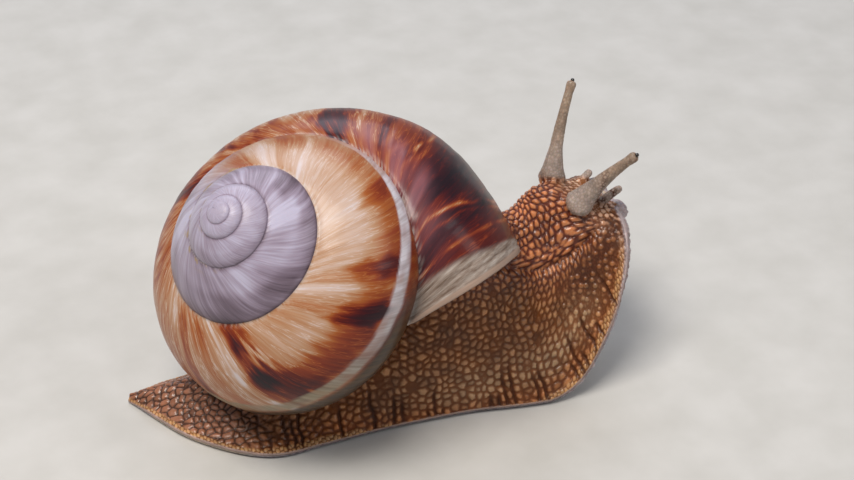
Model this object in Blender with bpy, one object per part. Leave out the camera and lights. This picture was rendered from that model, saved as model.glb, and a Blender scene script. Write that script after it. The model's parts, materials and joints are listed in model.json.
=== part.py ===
"""Land snail, life size, crawling with its front third raised: a still museum model.

The shell is one closed spiral surface. The flesh is one loft, made as a few named
lengths with thin gaps between them. Lengths below are millimetres; MM turns them
into metres when a mesh is made. +X is the way the snail faces, +Y its left, +Z up.
"""
import math

import bmesh
import bpy
import numpy as np
from mathutils import Matrix, Vector

for old in list(bpy.data.objects):
    bpy.data.objects.remove(old, do_unlink=True)

MM = 0.001
GAP = 0.3                      # clearance between neighbouring solids
HALF_GAP = GAP * 0.55          # each side of a parting, with a little to spare for slanted ends
TURN = 2 * math.pi

# ---------------------------------------------------------------- shell sizes
WHORLS = 4.5                   # turns from the tip to turn 0, just short of the lip
SPIRE_RADIUS = 18.47           # seam radius where the last whorl begins
SPIRE_HEIGHT = 17.5            # tip to that seam, along the axis
DOME_POWER = 1.198             # above 1 the spire is domed, not conical
RADIUS_GROWTH = math.log(1.908)            # per turn
LAST_RADIUS_GROWTH = (0.074, 0.591)        # share of it along the last whorl: linear, squared
LAST_DROP_GROWTH = (0.998, -0.249)
GROWTH_EASE = 0.12             # turns over which the growth changes
SEAM_ANGLE = 16.5              # where a whorl's section starts, degrees from its top
WIDEST_ANGLE = 90.0
BASE_FLATNESS = 0.95
NAVEL_RADIUS = 2.6
NAVEL_ANGLE = 215.0            # where the section ends, beside the axis
INNER_LIP_ANGLE = 168.0        # the wall inside the mouth reaches the lip's plane down to here
INNER_LIP_TURN = -0.865        # and starts here beyond it
SEAM_SINK = 30.0               # the seam dips by this angle just before the lip
SEAM_SINK_TURNS = 0.10
SHOULDER_ANGLE = 75.0          # the dip dies out by here
SHELL_TIP = Vector((-14.76, -8.36, 37.52))
SHELL_TILT = 41.4              # axis from upright
SHELL_HEADING = 211.0          # the tip points back and a little right
SHELL_SPIN = 92.2              # seam at the lip, about the axis
LIP_REACH = 0.015              # the mouth's corner lies this far past turn 0
LIP_NORMAL_AT_ZERO = Vector((0.390, -0.608, -0.692))
LIP_PINCH = 1.0                # mm the last whorl is drawn in just behind the lip
PINCH_TURNS = (-0.23, -0.14)   # where that starts and where it is full
FLARE_TURNS = (-0.13, -0.06)   # the lip itself flares out again by half of it
PINCH_ANGLES = (25.0, 80.0, 110.0, 165.0)      # it grows from the first to the second, and dies out
LIP_WALL = 0.9
LIP_RECESS = 2.2
COLLAR_THICKNESS = 1.7
COLLAR_BEVEL = 0.4
COLLAR_INSET = 0.6             # of its bevelled front
CLEARANCE_SWELL = GAP * 1.15

SHARPEST_PUSH = 1.6            # keeps the swollen corners short

SHELL_STEPS = 40               # samples per turn
UPPER_ROWS = 6
LOWER_ROWS = 8

# ----------------------------------------------------------------- body sizes
MARGIN_THICKNESS = 1.1         # rim of the foot
SOLE_INSET = 0.8               # the flat sole ends this far inside the rim
SKIRT_POWER = 3.2              # how fast the foot's skirt narrows to the trunk
ROUND_POWER = 0.85
FLANK_ROWS = 8
FOOT_SPLIT = 0.34              # the foot plate ends at this share of the flank
UPPER_SPLIT = 0.385            # and the neck and head begin at this one
STATION_NAMES = ("sole_x", "sole_z", "back_x", "back_z", "middle_y", "back_y",
                 "sole_half", "trunk_half", "yaw")
STATIONS = (
    (-24.2, 0.0, -24.2, 0.9, 8.5, 8.5, 0.8, 0.5, -32.0),      # tail tip
    (-20.2, 0.0, -20.0, 2.9, 6.0, 6.0, 4.1, 1.7, -31.0),
    (-15.2, 0.0, -15.0, 4.8, 3.2, 3.2, 7.9, 3.6, -25.0),
    (-8.8, 0.0, -8.8, 6.4, 0.5, 0.5, 11.1, 5.4, -11.0),
    (-2.5, 0.0, -2.0, 9.0, 0.0, -0.4, 10.9, 6.6, -2.0),
    (4.5, 0.0, 5.0, 13.0, 0.0, -2.2, 10.7, 7.6, 0.0),
    (11.0, 0.0, 11.0, 19.0, 0.0, -4.0, 11.0, 8.2, 0.0),
    (17.0, 0.0, 16.0, 22.5, 0.0, -4.2, 11.6, 8.2, 0.0),
    (22.6, 0.0, 20.5, 23.6, 0.0, -3.4, 12.8, 7.4, 0.0),
    (27.4, 0.0, 24.4, 23.4, 0.0, -2.0, 13.6, 6.6, 0.0),
    (31.6, 2.2, 27.2, 23.1, 0.0, -0.8, 13.6, 6.1, 0.0),
    (34.9, 7.0, 29.0, 24.0, 0.0, 0.0, 13.2, 5.7, 0.0),
    (37.5, 12.4, 30.7, 24.9, 0.0, 0.0, 12.4, 5.4, 0.0),
    (39.5, 17.4, 33.0, 24.9, -0.3, 0.0, 10.3, 5.1, 0.0),
    (40.7, 20.6, 35.8, 23.9, -0.5, 0.0, 7.4, 4.5, 0.0),
    (41.2, 22.0, 39.3, 22.7, -0.5, 0.0, 4.1, 3.4, 0.0),       # brow
)
TENTACLE_SIDES = {"left": 1, "right": -1}


def paint(name, colour, roughness, metallic=0.0):
    material = bpy.data.materials.new(name)
    material.use_nodes = True
    shader = material.node_tree.nodes["Principled BSDF"]
    shader.inputs["Base Color"].default_value = (*colour, 1.0)
    shader.inputs["Roughness"].default_value = roughness
    shader.inputs["Metallic"].default_value = metallic
    return material


SHELL_FINISH = paint("shell_brown", (0.33, 0.15, 0.07), 0.35)
SKIN_FINISH = paint("wet_skin", (0.42, 0.20, 0.07), 0.30)
COLLAR_FINISH = paint("mantle_dark", (0.05, 0.03, 0.04), 0.25)
FEELER_FINISH = paint("feeler_skin", (0.38, 0.27, 0.20), 0.35)
EYE_FINISH = paint("eye_black", (0.01, 0.01, 0.012), 0.15)


def solid(name, points, faces, finish=None, smooth=True):
    """One closed mesh object from points in millimetres."""
    mesh = bpy.data.meshes.new(name)
    mesh.from_pydata([tuple(Vector(p) * MM) for p in points], [], faces)
    mesh.update()
    bm = bmesh.new()
    bm.from_mesh(mesh)
    bmesh.ops.remove_doubles(bm, verts=bm.verts, dist=0.00001)
    bmesh.ops.dissolve_degenerate(bm, edges=bm.edges, dist=0.000001)
    bmesh.ops.recalc_face_normals(bm, faces=bm.faces)
    bm.to_mesh(mesh)
    bm.free()
    if smooth:
        mesh.shade_smooth()
        mesh.set_sharp_from_angle(angle=math.radians(50))
    thing = bpy.data.objects.new(name, mesh)
    bpy.context.scene.collection.objects.link(thing)
    if finish:
        mesh.materials.append(finish)
    return thing


def helper(thing):
    thing.hide_render = True
    thing.display_type = "WIRE"
    return thing


def cut(thing, cutter):
    modifier = thing.modifiers.new("clear_" + cutter.name, "BOOLEAN")
    modifier.operation = "DIFFERENCE"
    modifier.solver = "EXACT"
    modifier.object = cutter


# --------------------------------------------------------------------- shell
def growth(x, shares):
    """Turns of growth at x turns after the last whorl begins, with an eased change of rate."""
    if x < -GROWTH_EASE:
        return x
    linear, squared = shares
    if x > GROWTH_EASE:
        return linear * x + squared * x * x
    span = 2 * GROWTH_EASE
    t = (x + GROWTH_EASE) / span
    end = linear * GROWTH_EASE + squared * GROWTH_EASE ** 2
    end_rate = linear + 2 * squared * GROWTH_EASE
    return ((2 * t ** 3 - 3 * t ** 2 + 1) * -GROWTH_EASE + (t ** 3 - 2 * t ** 2 + t) * span
            + (3 * t ** 2 - 2 * t ** 3) * end + (t ** 3 - t ** 2) * end_rate * span)


def widest(turn):
    """Radius and depth below the tip of the whorl's widest line; turn is 0 just short of the lip."""
    radius = SPIRE_RADIUS * math.exp(RADIUS_GROWTH * growth(turn + 1, LAST_RADIUS_GROWTH))
    depth = SPIRE_HEIGHT * math.exp(RADIUS_GROWTH * DOME_POWER * growth(turn + 1, LAST_DROP_GROWTH))
    return radius, depth


def ease(t):
    t = min(1.0, max(0.0, t))
    return t * t * (3 - 2 * t)


def next_seam_angle(turn):
    """Section angle at which the following whorl is joined on."""
    return WIDEST_ANGLE + SEAM_SINK * ease((turn + 1 + SEAM_SINK_TURNS) / SEAM_SINK_TURNS)


def section(turn, angle):
    radius, depth = widest(turn)
    seam_radius, seam_depth = widest(turn - 1)
    start = math.radians(SEAM_ANGLE)
    across = (radius - seam_radius) / (1 - math.sin(start))
    along = (depth - seam_depth) / math.cos(start)
    if angle > WIDEST_ANGLE:
        across = (radius - NAVEL_RADIUS) / (1 + math.sin(math.radians(NAVEL_ANGLE - 180)))
        along *= BASE_FLATNESS
    a = math.radians(angle)
    return radius - across + across * math.sin(a), depth - along * math.cos(a)


def whorl(turn, angle):
    """Radius and depth of a point of the shell's skin, with the seam's dip and the pinch near the lip."""
    radius, depth = section(turn, angle)
    plain = widest(turn - 1)
    sunk = section(turn - 1, next_seam_angle(turn - 1))
    keep = 1 - ease((angle - SEAM_ANGLE) / (SHOULDER_ANGLE - SEAM_ANGLE))
    pinch = LIP_PINCH * ease((turn - PINCH_TURNS[0]) / (PINCH_TURNS[1] - PINCH_TURNS[0]))
    pinch *= ease((angle - PINCH_ANGLES[0]) / (PINCH_ANGLES[1] - PINCH_ANGLES[0]))
    pinch *= 1 - ease((angle - PINCH_ANGLES[2]) / (PINCH_ANGLES[3] - PINCH_ANGLES[2]))
    pinch *= 1 - 0.5 * ease((turn - FLARE_TURNS[0]) / (FLARE_TURNS[1] - FLARE_TURNS[0]))
    return radius - pinch + keep * (sunk[0] - plain[0]), depth + keep * (sunk[1] - plain[1])


SHELL_FRAME = (Matrix.Translation(SHELL_TIP)
               @ Matrix.Rotation(math.radians(SHELL_HEADING), 4, "Z")
               @ Matrix.Rotation(math.radians(SHELL_TILT), 4, "Y")
               @ Matrix.Rotation(math.radians(SHELL_SPIN), 4, "Z"))


def shell_point(turn, angle):
    radius, depth = whorl(turn, angle)
    a = -TURN * turn
    return SHELL_FRAME @ Vector((radius * math.cos(a), radius * math.sin(a), -depth))


LIP_CORNER = shell_point(LIP_REACH, SEAM_ANGLE)
SHELL_AXIS = SHELL_FRAME.to_3x3().col[2]
LIP_NORMAL = Matrix.Rotation(-TURN * LIP_REACH, 3, SHELL_AXIS) @ LIP_NORMAL_AT_ZERO


def lip_turn(angle, low, high):
    """Turn at which a spiral line of the shell meets the plane of the lip."""
    for _ in range(40):
        middle = (low + high) / 2
        if (shell_point(middle, angle) - LIP_CORNER).dot(LIP_NORMAL) < 0:
            low = middle
        else:
            high = middle
    return (low + high) / 2


def shell_grid():
    """Points of the shell by turn and section angle, then the two curves that bound its mouth."""
    sunk = WIDEST_ANGLE + SEAM_SINK
    lower = [sunk + (NAVEL_ANGLE - sunk) * j / LOWER_ROWS for j in range(LOWER_ROWS + 1)]
    points, faces, index = [], [], {}
    first = -round(WHORLS * SHELL_STEPS)

    def vertex(key, place):
        if key not in index:
            index[key] = len(points)
            points.append(place)
        return index[key]

    def upper_vertex(step, row):
        turn = LIP_REACH + step / SHELL_STEPS
        if row == UPPER_ROWS and step + SHELL_STEPS <= 0:
            return upper_vertex(step + SHELL_STEPS, 0)
        seam_end = next_seam_angle(turn) if step < -SHELL_STEPS else sunk
        angle = SEAM_ANGLE + (seam_end - SEAM_ANGLE) * row / UPPER_ROWS
        if step >= -SHELL_STEPS:
            share = (step + SHELL_STEPS) / SHELL_STEPS
            first_turn = LIP_REACH - 1
            turn = first_turn + share * (lip_turn(angle, -0.6, 0.4) - first_turn) if row else turn
        return vertex((step, row), shell_point(turn, angle))

    for step in range(first, 0):
        for row in range(UPPER_ROWS):
            faces.append((upper_vertex(step, row), upper_vertex(step, row + 1),
                          upper_vertex(step + 1, row + 1), upper_vertex(step + 1, row)))
    tip = vertex("tip", SHELL_FRAME @ Vector((0, 0, 0)))
    for step in range(first, first + SHELL_STEPS):
        faces.append((tip, upper_vertex(step, 0), upper_vertex(step + 1, 0)))
    faces.append((tip, *[upper_vertex(first, row) for row in range(UPPER_ROWS, -1, -1)]))

    starts = [lip_turn(a, -1.3, INNER_LIP_TURN) if a <= INNER_LIP_ANGLE else INNER_LIP_TURN
              for a in lower]
    ends = [lip_turn(a, -0.6, 0.4) for a in lower]
    starts[0] = LIP_REACH - 1
    inner_row = max(row for row, a in enumerate(lower) if a <= INNER_LIP_ANGLE)

    def lower_vertex(step, row):
        if row == 0:
            return upper_vertex(step, UPPER_ROWS)
        share = (step + SHELL_STEPS) / SHELL_STEPS
        turn = starts[row] + share * (ends[row] - starts[row])
        return vertex((step, UPPER_ROWS + row), shell_point(turn, lower[row]))

    for step in range(-SHELL_STEPS, 0):
        for row in range(LOWER_ROWS):
            faces.append((lower_vertex(step, row), lower_vertex(step, row + 1),
                          lower_vertex(step + 1, row + 1), lower_vertex(step + 1, row)))
    edge = [lower_vertex(step, LOWER_ROWS) for step in range(-SHELL_STEPS, 1)]
    depth = sum((SHELL_FRAME.inverted() @ points[i]).z for i in edge) / len(edge)
    navel = vertex("navel", SHELL_FRAME @ Vector((0, 0, depth)))
    for near, far in zip(edge, edge[1:]):
        faces.append((navel, far, near))
    inner_lip = [lower_vertex(-SHELL_STEPS, row) for row in range(inner_row, LOWER_ROWS + 1)] + [navel]
    for near, far in zip(inner_lip, inner_lip[1:]):
        faces.append((edge[-1], near, far))
    mouth = [upper_vertex(0, row) for row in range(UPPER_ROWS + 1)]
    mouth += [lower_vertex(0, row) for row in range(1, LOWER_ROWS + 1)]
    mouth += [lower_vertex(-SHELL_STEPS, row) for row in range(inner_row, 0, -1)]
    return points, faces, mouth


def toward(point, middle, distance):
    step = middle - point
    return point + step.normalized() * min(distance, step.length * 0.8)


def plane_drop(point, height=0.0):
    """The point moved along the lip's normal to a height over the lip's plane."""
    return point + LIP_NORMAL * (height - (point - LIP_CORNER).dot(LIP_NORMAL))


def ring_of(points, mouth):
    return [points[i].copy() for i in mouth]


def make_shell():
    points, faces, mouth = shell_grid()
    rim = ring_of(points, mouth)
    middle = plane_drop(sum(rim, Vector()) / len(rim))
    inner = [plane_drop(toward(p, middle, LIP_WALL)) for p in rim]
    floor = [p - LIP_NORMAL * LIP_RECESS for p in inner]
    count = len(mouth)
    inner_ids = range(len(points), len(points) + count)
    points += inner
    floor_ids = range(len(points), len(points) + count)
    points += floor
    centre = len(points)
    points.append(middle - LIP_NORMAL * LIP_RECESS)
    for i in range(count):
        j = (i + 1) % count
        faces.append((mouth[i], mouth[j], inner_ids[j], inner_ids[i]))
        faces.append((inner_ids[i], inner_ids[j], floor_ids[j], floor_ids[i]))
        faces.append((floor_ids[i], floor_ids[j], centre))
    return solid("shell", points, faces, SHELL_FINISH), inner, middle


def make_shell_clearance():
    """The shell with its mouth closed, swollen by the gap: it cuts the flesh clear."""
    points, faces, mouth = shell_grid()
    rim = ring_of(points, mouth)
    middle = plane_drop(sum(rim, Vector()) / len(rim))
    centre = len(points)
    points.append(middle)
    for i, corner in enumerate(mouth):
        faces.append((corner, mouth[(i + 1) % len(mouth)], centre))
    clearance = helper(solid("shell_clearance", points, faces))
    bm = bmesh.new()
    bm.from_mesh(clearance.data)
    bm.normal_update()
    pushes = [v.normal * CLEARANCE_SWELL * MM * min(v.calc_shell_factor(), SHARPEST_PUSH) for v in bm.verts]
    for vert, push in zip(bm.verts, pushes):
        vert.co += push
    bm.to_mesh(clearance.data)
    bm.free()
    return clearance


def make_collar(inner, middle):
    """The dark mantle edge that fills the shell's mouth, just inside the lip."""
    low = GAP - LIP_RECESS
    high = low + COLLAR_THICKNESS
    rim = [toward(p, middle, GAP * 1.2) for p in inner]
    round_in = [toward(p, middle, COLLAR_INSET) for p in rim]
    levels = [[p + LIP_NORMAL * low for p in rim],
              [p + LIP_NORMAL * (high - COLLAR_BEVEL) for p in rim],
              [p + LIP_NORMAL * high for p in round_in]]
    points = [p for level in levels for p in level]
    count = len(rim)
    faces = []
    for k in range(len(levels) - 1):
        for i in range(count):
            j = (i + 1) % count
            faces.append((k * count + i, k * count + j, (k + 1) * count + j, (k + 1) * count + i))
    for k, height in ((0, low), (len(levels) - 1, high)):
        centre = len(points)
        points.append(middle + LIP_NORMAL * height)
        faces += [(k * count + i, k * count + (i + 1) % count, centre) for i in range(count)]
    return solid("mantle_collar", points, faces, COLLAR_FINISH)


# ---------------------------------------------------------------------- body
def station(t):
    """Named sizes of the body at station t, by a smooth curve through the stations."""
    i = min(int(t), len(STATIONS) - 2)
    u = t - i
    table = np.array(STATIONS)
    p1, p2 = table[i], table[i + 1]
    p0 = table[i - 1] if i else 2 * p1 - p2
    p3 = table[i + 2] if i + 2 < len(STATIONS) else 2 * p2 - p1
    value = 0.5 * (2 * p1 + (p2 - p0) * u + (2 * p0 - 5 * p1 + 4 * p2 - p3) * u ** 2
                   + (3 * p1 - p0 - 3 * p2 + p3) * u ** 3)
    sizes = dict(zip(STATION_NAMES, value))
    flat_end = next(k for k, row in enumerate(STATIONS) if row[1] > 0) - 1
    if t <= flat_end:
        sizes["sole_z"] = 0.0
    sizes["sole_z"] = max(0.0, sizes["sole_z"])
    return sizes


def flank(share):
    """Half width and height of the flank, from the margin (0) to the back (1), as weights."""
    quarter = share * math.pi / 2
    skirt = (1 - share) ** SKIRT_POWER
    return math.cos(quarter) ** ROUND_POWER, skirt, math.sin(quarter) ** 1.15


def rib(t, low=0.0, high=1.0, grow=0.0, shift=0.0):
    """One closed section. low and high are flank shares; grow swells it; shift slides it forward."""
    s = station(t)
    yaw = math.radians(s["yaw"])
    side = Vector((-math.sin(yaw), math.cos(yaw), 0))
    sole = Vector((s["sole_x"], s["middle_y"], s["sole_z"]))
    back = Vector((s["back_x"], s["back_y"], s["back_z"]))
    up = back - sole
    height = up.length
    up.normalize()
    forward = Vector((math.cos(yaw), math.sin(yaw), 0))
    margin = min(MARGIN_THICKNESS, height * 0.45)

    def place(share, sign):
        trunk, skirt, rise = flank(share)
        half = s["trunk_half"] * trunk * (1 - skirt) + s["sole_half"] * skirt + grow
        lift = margin + (height - margin) * rise + grow
        return sole + up * lift + side * (sign * half)

    points = []
    if low <= 0:
        inset = min(SOLE_INSET, s["sole_half"] * 0.4)
        drop = up * -grow
        for sign in (-1, 1):
            points.append(sole + drop + side * (sign * (s["sole_half"] + grow - inset)))
        left_low = [sole + drop + side * (s["sole_half"] + grow - inset * 0.3) + up * margin * 0.35]
        right_low = [sole + drop - side * (s["sole_half"] + grow - inset * 0.3) + up * margin * 0.35]
    else:
        left_low, right_low = [], []
    shares = [low + (high - low) * k / FLANK_ROWS for k in range(FLANK_ROWS + 1)]
    left = left_low + [place(share, 1) for share in shares]
    right = right_low + [place(share, -1) for share in shares]
    ring = points + left + (right[::-1] if high < 1 else right[-2::-1])
    return [p + forward * shift for p in ring]


def loft(name, first, last, count, finish, low=0.0, high=1.0, grow=0.0, ends=(1, 1)):
    """A closed length of the body between two stations, pulled in by half a gap at parted ends."""
    rings = []
    for k in range(count + 1):
        t = first + (last - first) * k / count
        shift = 0.0
        if k == 0:
            shift = HALF_GAP * ends[0]
        if k == count:
            shift = -HALF_GAP * ends[1]
        rings.append(rib(t, low, high, grow, shift))
    size = len(rings[0])
    points = [p for ring in rings for p in ring]
    faces = []
    for k in range(count):
        for i in range(size):
            j = (i + 1) % size
            faces.append((k * size + i, (k + 1) * size + i, (k + 1) * size + j, k * size + j))
    for k, order in ((0, 1), (count, -1)):
        centre = len(points)
        ring = rings[k]
        points.append(sum(ring, Vector()) / size)
        for i in range(size):
            pair = (k * size + i, k * size + (i + 1) % size)
            faces.append((*pair[::order], centre))
    return solid(name, points, faces, finish)


# station where each length ends
TAIL_END = 2.0
REAR_END = 4.6
MIDDLE_END = 8.0
NECK_END = 12.4
BROW_END = 15.0
RAISED_FROM = 10.4

# ----------------------------------------------------------------- tentacles
# each path is a root, a bend and a tip; each radius goes with a share of the length
UPPER_PATHS = {
    "left": (Vector((34.2, 3.3, 22.4)), Vector((35.0, 4.4, 29.5)), Vector((39.0, 7.9, 35.6))),
    "right": (Vector((34.1, -3.3, 22.6)), Vector((36.8, -4.3, 27.1)), Vector((40.6, -7.9, 32.3))),
}
UPPER_RADII = {
    "left": ((0.0, 1.95), (0.2, 1.4), (0.4, 0.9), (0.7, 0.68), (0.9, 0.6), (0.96, 0.7), (1.0, 0.6)),
    "right": ((0.0, 2.0), (0.2, 1.65), (0.45, 1.1), (0.7, 0.8), (0.88, 0.64), (0.96, 0.74), (1.0, 0.62)),
}
UPPER_PARTING = 0.46
LOWER_PATHS = {
    "left": (Vector((37.8, 2.9, 21.9)), Vector((39.2, 3.4, 23.1)), Vector((40.4, 3.8, 23.6))),
    "right": (Vector((37.6, -2.9, 22.1)), Vector((39.3, -3.4, 24.1)), Vector((40.8, -4.2, 25.4))),
}
LOWER_RADII = ((0.0, 0.95), (0.5, 0.6), (0.85, 0.55), (1.0, 0.4))
EYE_RADIUS = 0.3
EYE_SOCKET_RADIUS = 0.54
EYE_SINK = 0.1                 # the eye's middle lies this far outside the tentacle's end
MOUTH_LOBE = Vector((40.9, 3.0, 21.2))
MOUTH_LOBE_RADII = (1.3, 1.9, 1.3)
TUBE_SIDES = 12


def tube(name, root, bend, tip, radii, span, finish, steps=9):
    """A tapered tube along a bent path, between two shares of its length."""
    rings = []
    shares = [k for k, _ in radii]
    sizes = [r for _, r in radii]
    for k in range(steps + 1):
        u = span[0] + (span[1] - span[0]) * k / steps
        centre = root * (1 - u) ** 2 + bend * 2 * u * (1 - u) + tip * u ** 2
        along = ((bend - root) * (1 - u) + (tip - bend) * u).normalized()
        side = along.cross(Vector((0, 1, 0.3))).normalized()
        other = along.cross(side)
        radius = float(np.interp(u, shares, sizes))
        rings.append([centre + (side * math.cos(a) + other * math.sin(a)) * radius
                      for a in (TURN * i / TUBE_SIDES for i in range(TUBE_SIDES))])
    points = [p for ring in rings for p in ring]
    faces = []
    for k in range(steps):
        for i in range(TUBE_SIDES):
            j = (i + 1) % TUBE_SIDES
            faces.append((k * TUBE_SIDES + i, k * TUBE_SIDES + j,
                          (k + 1) * TUBE_SIDES + j, (k + 1) * TUBE_SIDES + i))
    faces.append(tuple(range(TUBE_SIDES))[::-1])
    faces.append(tuple(steps * TUBE_SIDES + i for i in range(TUBE_SIDES)))
    return solid(name, points, faces, finish)


def ball(name, centre, radii, finish=None):
    bm = bmesh.new()
    bmesh.ops.create_uvsphere(bm, u_segments=14, v_segments=8, radius=1.0)
    points = [Vector((v.co.x * radii[0], v.co.y * radii[1], v.co.z * radii[2])) + centre
              for v in bm.verts]
    faces = [tuple(v.index for v in f.verts) for f in bm.faces]
    bm.free()
    return solid(name, points, faces, finish)


# --------------------------------------------------------------------- build
shell, mouth_rim, mouth_middle = make_shell()
collar = make_collar(mouth_rim, mouth_middle)
clearance = make_shell_clearance()

tail = loft("tail", 0.0, TAIL_END, 6, SKIN_FINISH, ends=(0, 1))
foot_rear = loft("foot_rear", TAIL_END, REAR_END, 6, SKIN_FINISH)
foot_middle = loft("foot_middle", REAR_END, MIDDLE_END, 8, SKIN_FINISH)
foot_front = loft("foot_front", MIDDLE_END, BROW_END, 14, SKIN_FINISH, high=FOOT_SPLIT, ends=(1, 0))
neck = loft("neck", MIDDLE_END, NECK_END, 9, SKIN_FINISH, low=UPPER_SPLIT)
head = loft("head", NECK_END, BROW_END, 7, SKIN_FINISH, low=UPPER_SPLIT, ends=(1, 0))
for flesh in (foot_rear, foot_middle, foot_front, neck, tail):
    cut(flesh, clearance)

# the raised front, swollen by the gap, with no partings: it cuts the feelers and lobes clear
head_clearance = helper(loft("head_clearance", RAISED_FROM, BROW_END, 12, None, grow=GAP, ends=(0, -1)))

for side_name, sign in TENTACLE_SIDES.items():
    root, bend, tip = UPPER_PATHS[side_name]
    gap_share = GAP / (tip - root).length
    base = tube("upper_tentacle_" + side_name + "_base", root, bend, tip, UPPER_RADII[side_name],
                (0.0, UPPER_PARTING), FEELER_FINISH, steps=5)
    cut(base, head_clearance)
    stalk = tube("upper_tentacle_" + side_name, root, bend, tip, UPPER_RADII[side_name],
                 (UPPER_PARTING + gap_share, 1.0), FEELER_FINISH, steps=10)
    eye_place = tip + (tip - bend).normalized() * EYE_SINK
    ball("eye_" + side_name, eye_place, (EYE_RADIUS,) * 3, EYE_FINISH)
    cut(stalk, helper(ball("eye_socket_" + side_name, eye_place, (EYE_SOCKET_RADIUS,) * 3)))
    lower = tube("lower_tentacle_" + side_name, *LOWER_PATHS[side_name], LOWER_RADII, (0.0, 1.0),
                 FEELER_FINISH, steps=6)
    cut(lower, head_clearance)
    lobe_place = Vector((MOUTH_LOBE.x, MOUTH_LOBE.y * sign, MOUTH_LOBE.z))
    lobe = ball("mouth_lobe_" + side_name, lobe_place, MOUTH_LOBE_RADII, SKIN_FINISH)
    cut(lobe, head_clearance)

# ------------------------------------------- origin: middle of the box's floor
bpy.context.view_layer.update()
graph = bpy.context.evaluated_depsgraph_get()
corners = []
for thing in bpy.data.objects:
    if thing.type == "MESH" and not thing.hide_render:
        shape = thing.evaluated_get(graph).to_mesh()
        corners += [v.co.copy() for v in shape.vertices]
low_corner = Vector([min(c[k] for c in corners) for k in range(3)])
high_corner = Vector([max(c[k] for c in corners) for k in range(3)])
origin = Vector(((low_corner.x + high_corner.x) / 2, (low_corner.y + high_corner.y) / 2, low_corner.z))
for thing in bpy.data.objects:
    if thing.type == "MESH":
        thing.data.transform(Matrix.Translation(-origin))
print("origin of the snail frame in the row:", [round(v * 1000, 3) for v in -origin])
print("size in millimetres:", [round(v * 1000, 1) for v in high_corner - low_corner])
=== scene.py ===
# %% [markdown]
# # A land snail at life size
# The animal crawls with its front third raised. Four finishes make it: a glossy chalk shell with
# streaks of brown and maroon, wet skin covered in small swellings, a dark mantle fold that fills the
# shell's mouth, and black eyes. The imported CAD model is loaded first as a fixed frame: it gives every
# place, and each piece below is made where the frame says and rides on its one body.

import itertools
import json
import math

import bpy
import numpy as np
from mathutils import Matrix, Vector
from mathutils.bvhtree import BVHTree


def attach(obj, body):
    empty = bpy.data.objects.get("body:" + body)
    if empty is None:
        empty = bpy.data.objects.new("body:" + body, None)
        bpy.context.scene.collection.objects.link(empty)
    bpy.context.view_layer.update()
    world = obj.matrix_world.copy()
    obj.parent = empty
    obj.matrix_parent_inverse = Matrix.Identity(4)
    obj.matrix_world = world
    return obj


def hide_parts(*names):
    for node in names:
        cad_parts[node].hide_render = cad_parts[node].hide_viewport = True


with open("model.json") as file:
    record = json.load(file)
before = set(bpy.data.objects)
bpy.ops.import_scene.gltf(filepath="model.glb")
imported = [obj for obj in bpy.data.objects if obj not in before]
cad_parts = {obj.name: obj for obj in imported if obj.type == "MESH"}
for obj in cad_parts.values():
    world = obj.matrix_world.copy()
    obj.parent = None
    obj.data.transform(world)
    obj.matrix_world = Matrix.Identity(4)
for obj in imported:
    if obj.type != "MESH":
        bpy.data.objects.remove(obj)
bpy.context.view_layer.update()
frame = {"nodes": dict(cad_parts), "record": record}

# %% [markdown]
# ## Units and small tools
# A snail is drawn most easily in millimetres, in its own axes: +X is ahead, +Y its left, +Z up, and
# zero lies on the sole. The record's mount says where that zero is, so one function moves finished
# points into the frame's metres. Random detail comes from a small hash instead of a random
# generator, so the same point always gets the same bump, run after run.

# %% Units
MM = 0.001
TURN = 2 * math.pi
ORIGIN = np.array(frame["record"]["mounts"][0]["pos_m"])


def to_metres(points):
    return np.asarray(points, float) * MM + ORIGIN


print("the snail's zero in the frame, mm:", np.round(ORIGIN / MM, 2))


# %% Easing and noise
def ease(low, high, x):
    """0 below low, 1 above high, smooth between."""
    t = np.clip((np.asarray(x, float) - low) / (high - low), 0, 1)
    return t * t * (3 - 2 * t)


def between(rise_from, rise_to, fall_from, fall_to, x):
    """0 outside two slopes and 1 between them."""
    return ease(rise_from, rise_to, x) * (1 - ease(fall_from, fall_to, x))


def blend(first, second, share):
    return first * (1 - share) + second * share


def hump(middle, half_width, x):
    return np.exp(-((np.asarray(x, float) - middle) / half_width) ** 2)


def dice(i, j, seed):
    """A repeatable random number from 0 to 1 for each whole-number place."""
    n = (i * 374761393 + j * 668265263 + seed * 1442695041) & 0xFFFFFFFF
    n = ((n ^ (n >> 13)) * 1274126177) & 0xFFFFFFFF
    return (n ^ (n >> 16)) / 2 ** 32


def wander(x, y=0.0, seed=0):
    """Smooth random heights from -1 to 1, one lattice step apart."""
    x, y = np.broadcast_arrays(np.asarray(x, float), np.asarray(y, float))
    i, j = np.floor(x).astype(np.int64), np.floor(y).astype(np.int64)
    a, b = ease(0, 1, x - i), ease(0, 1, y - j)
    near = blend(dice(i, j, seed), dice(i + 1, j, seed), a)
    far = blend(dice(i, j + 1, seed), dice(i + 1, j + 1, seed), a)
    return blend(near, far, b) * 2 - 1


print("noise at three places:", np.round(wander(np.array([0.2, 5.1, 9.7])), 3))


# %% Colour helper
def colour(code):
    """An sRGB hex code as the linear colour that shaders use."""
    parts = [int(code[k:k + 2], 16) / 255 for k in (1, 3, 5)]
    return (*[c / 12.92 if c <= 0.04045 else ((c + 0.055) / 1.055) ** 2.4 for c in parts], 1.0)


print("clay brown as linear colour:", np.round(colour("#8E5A34"), 3))


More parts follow.
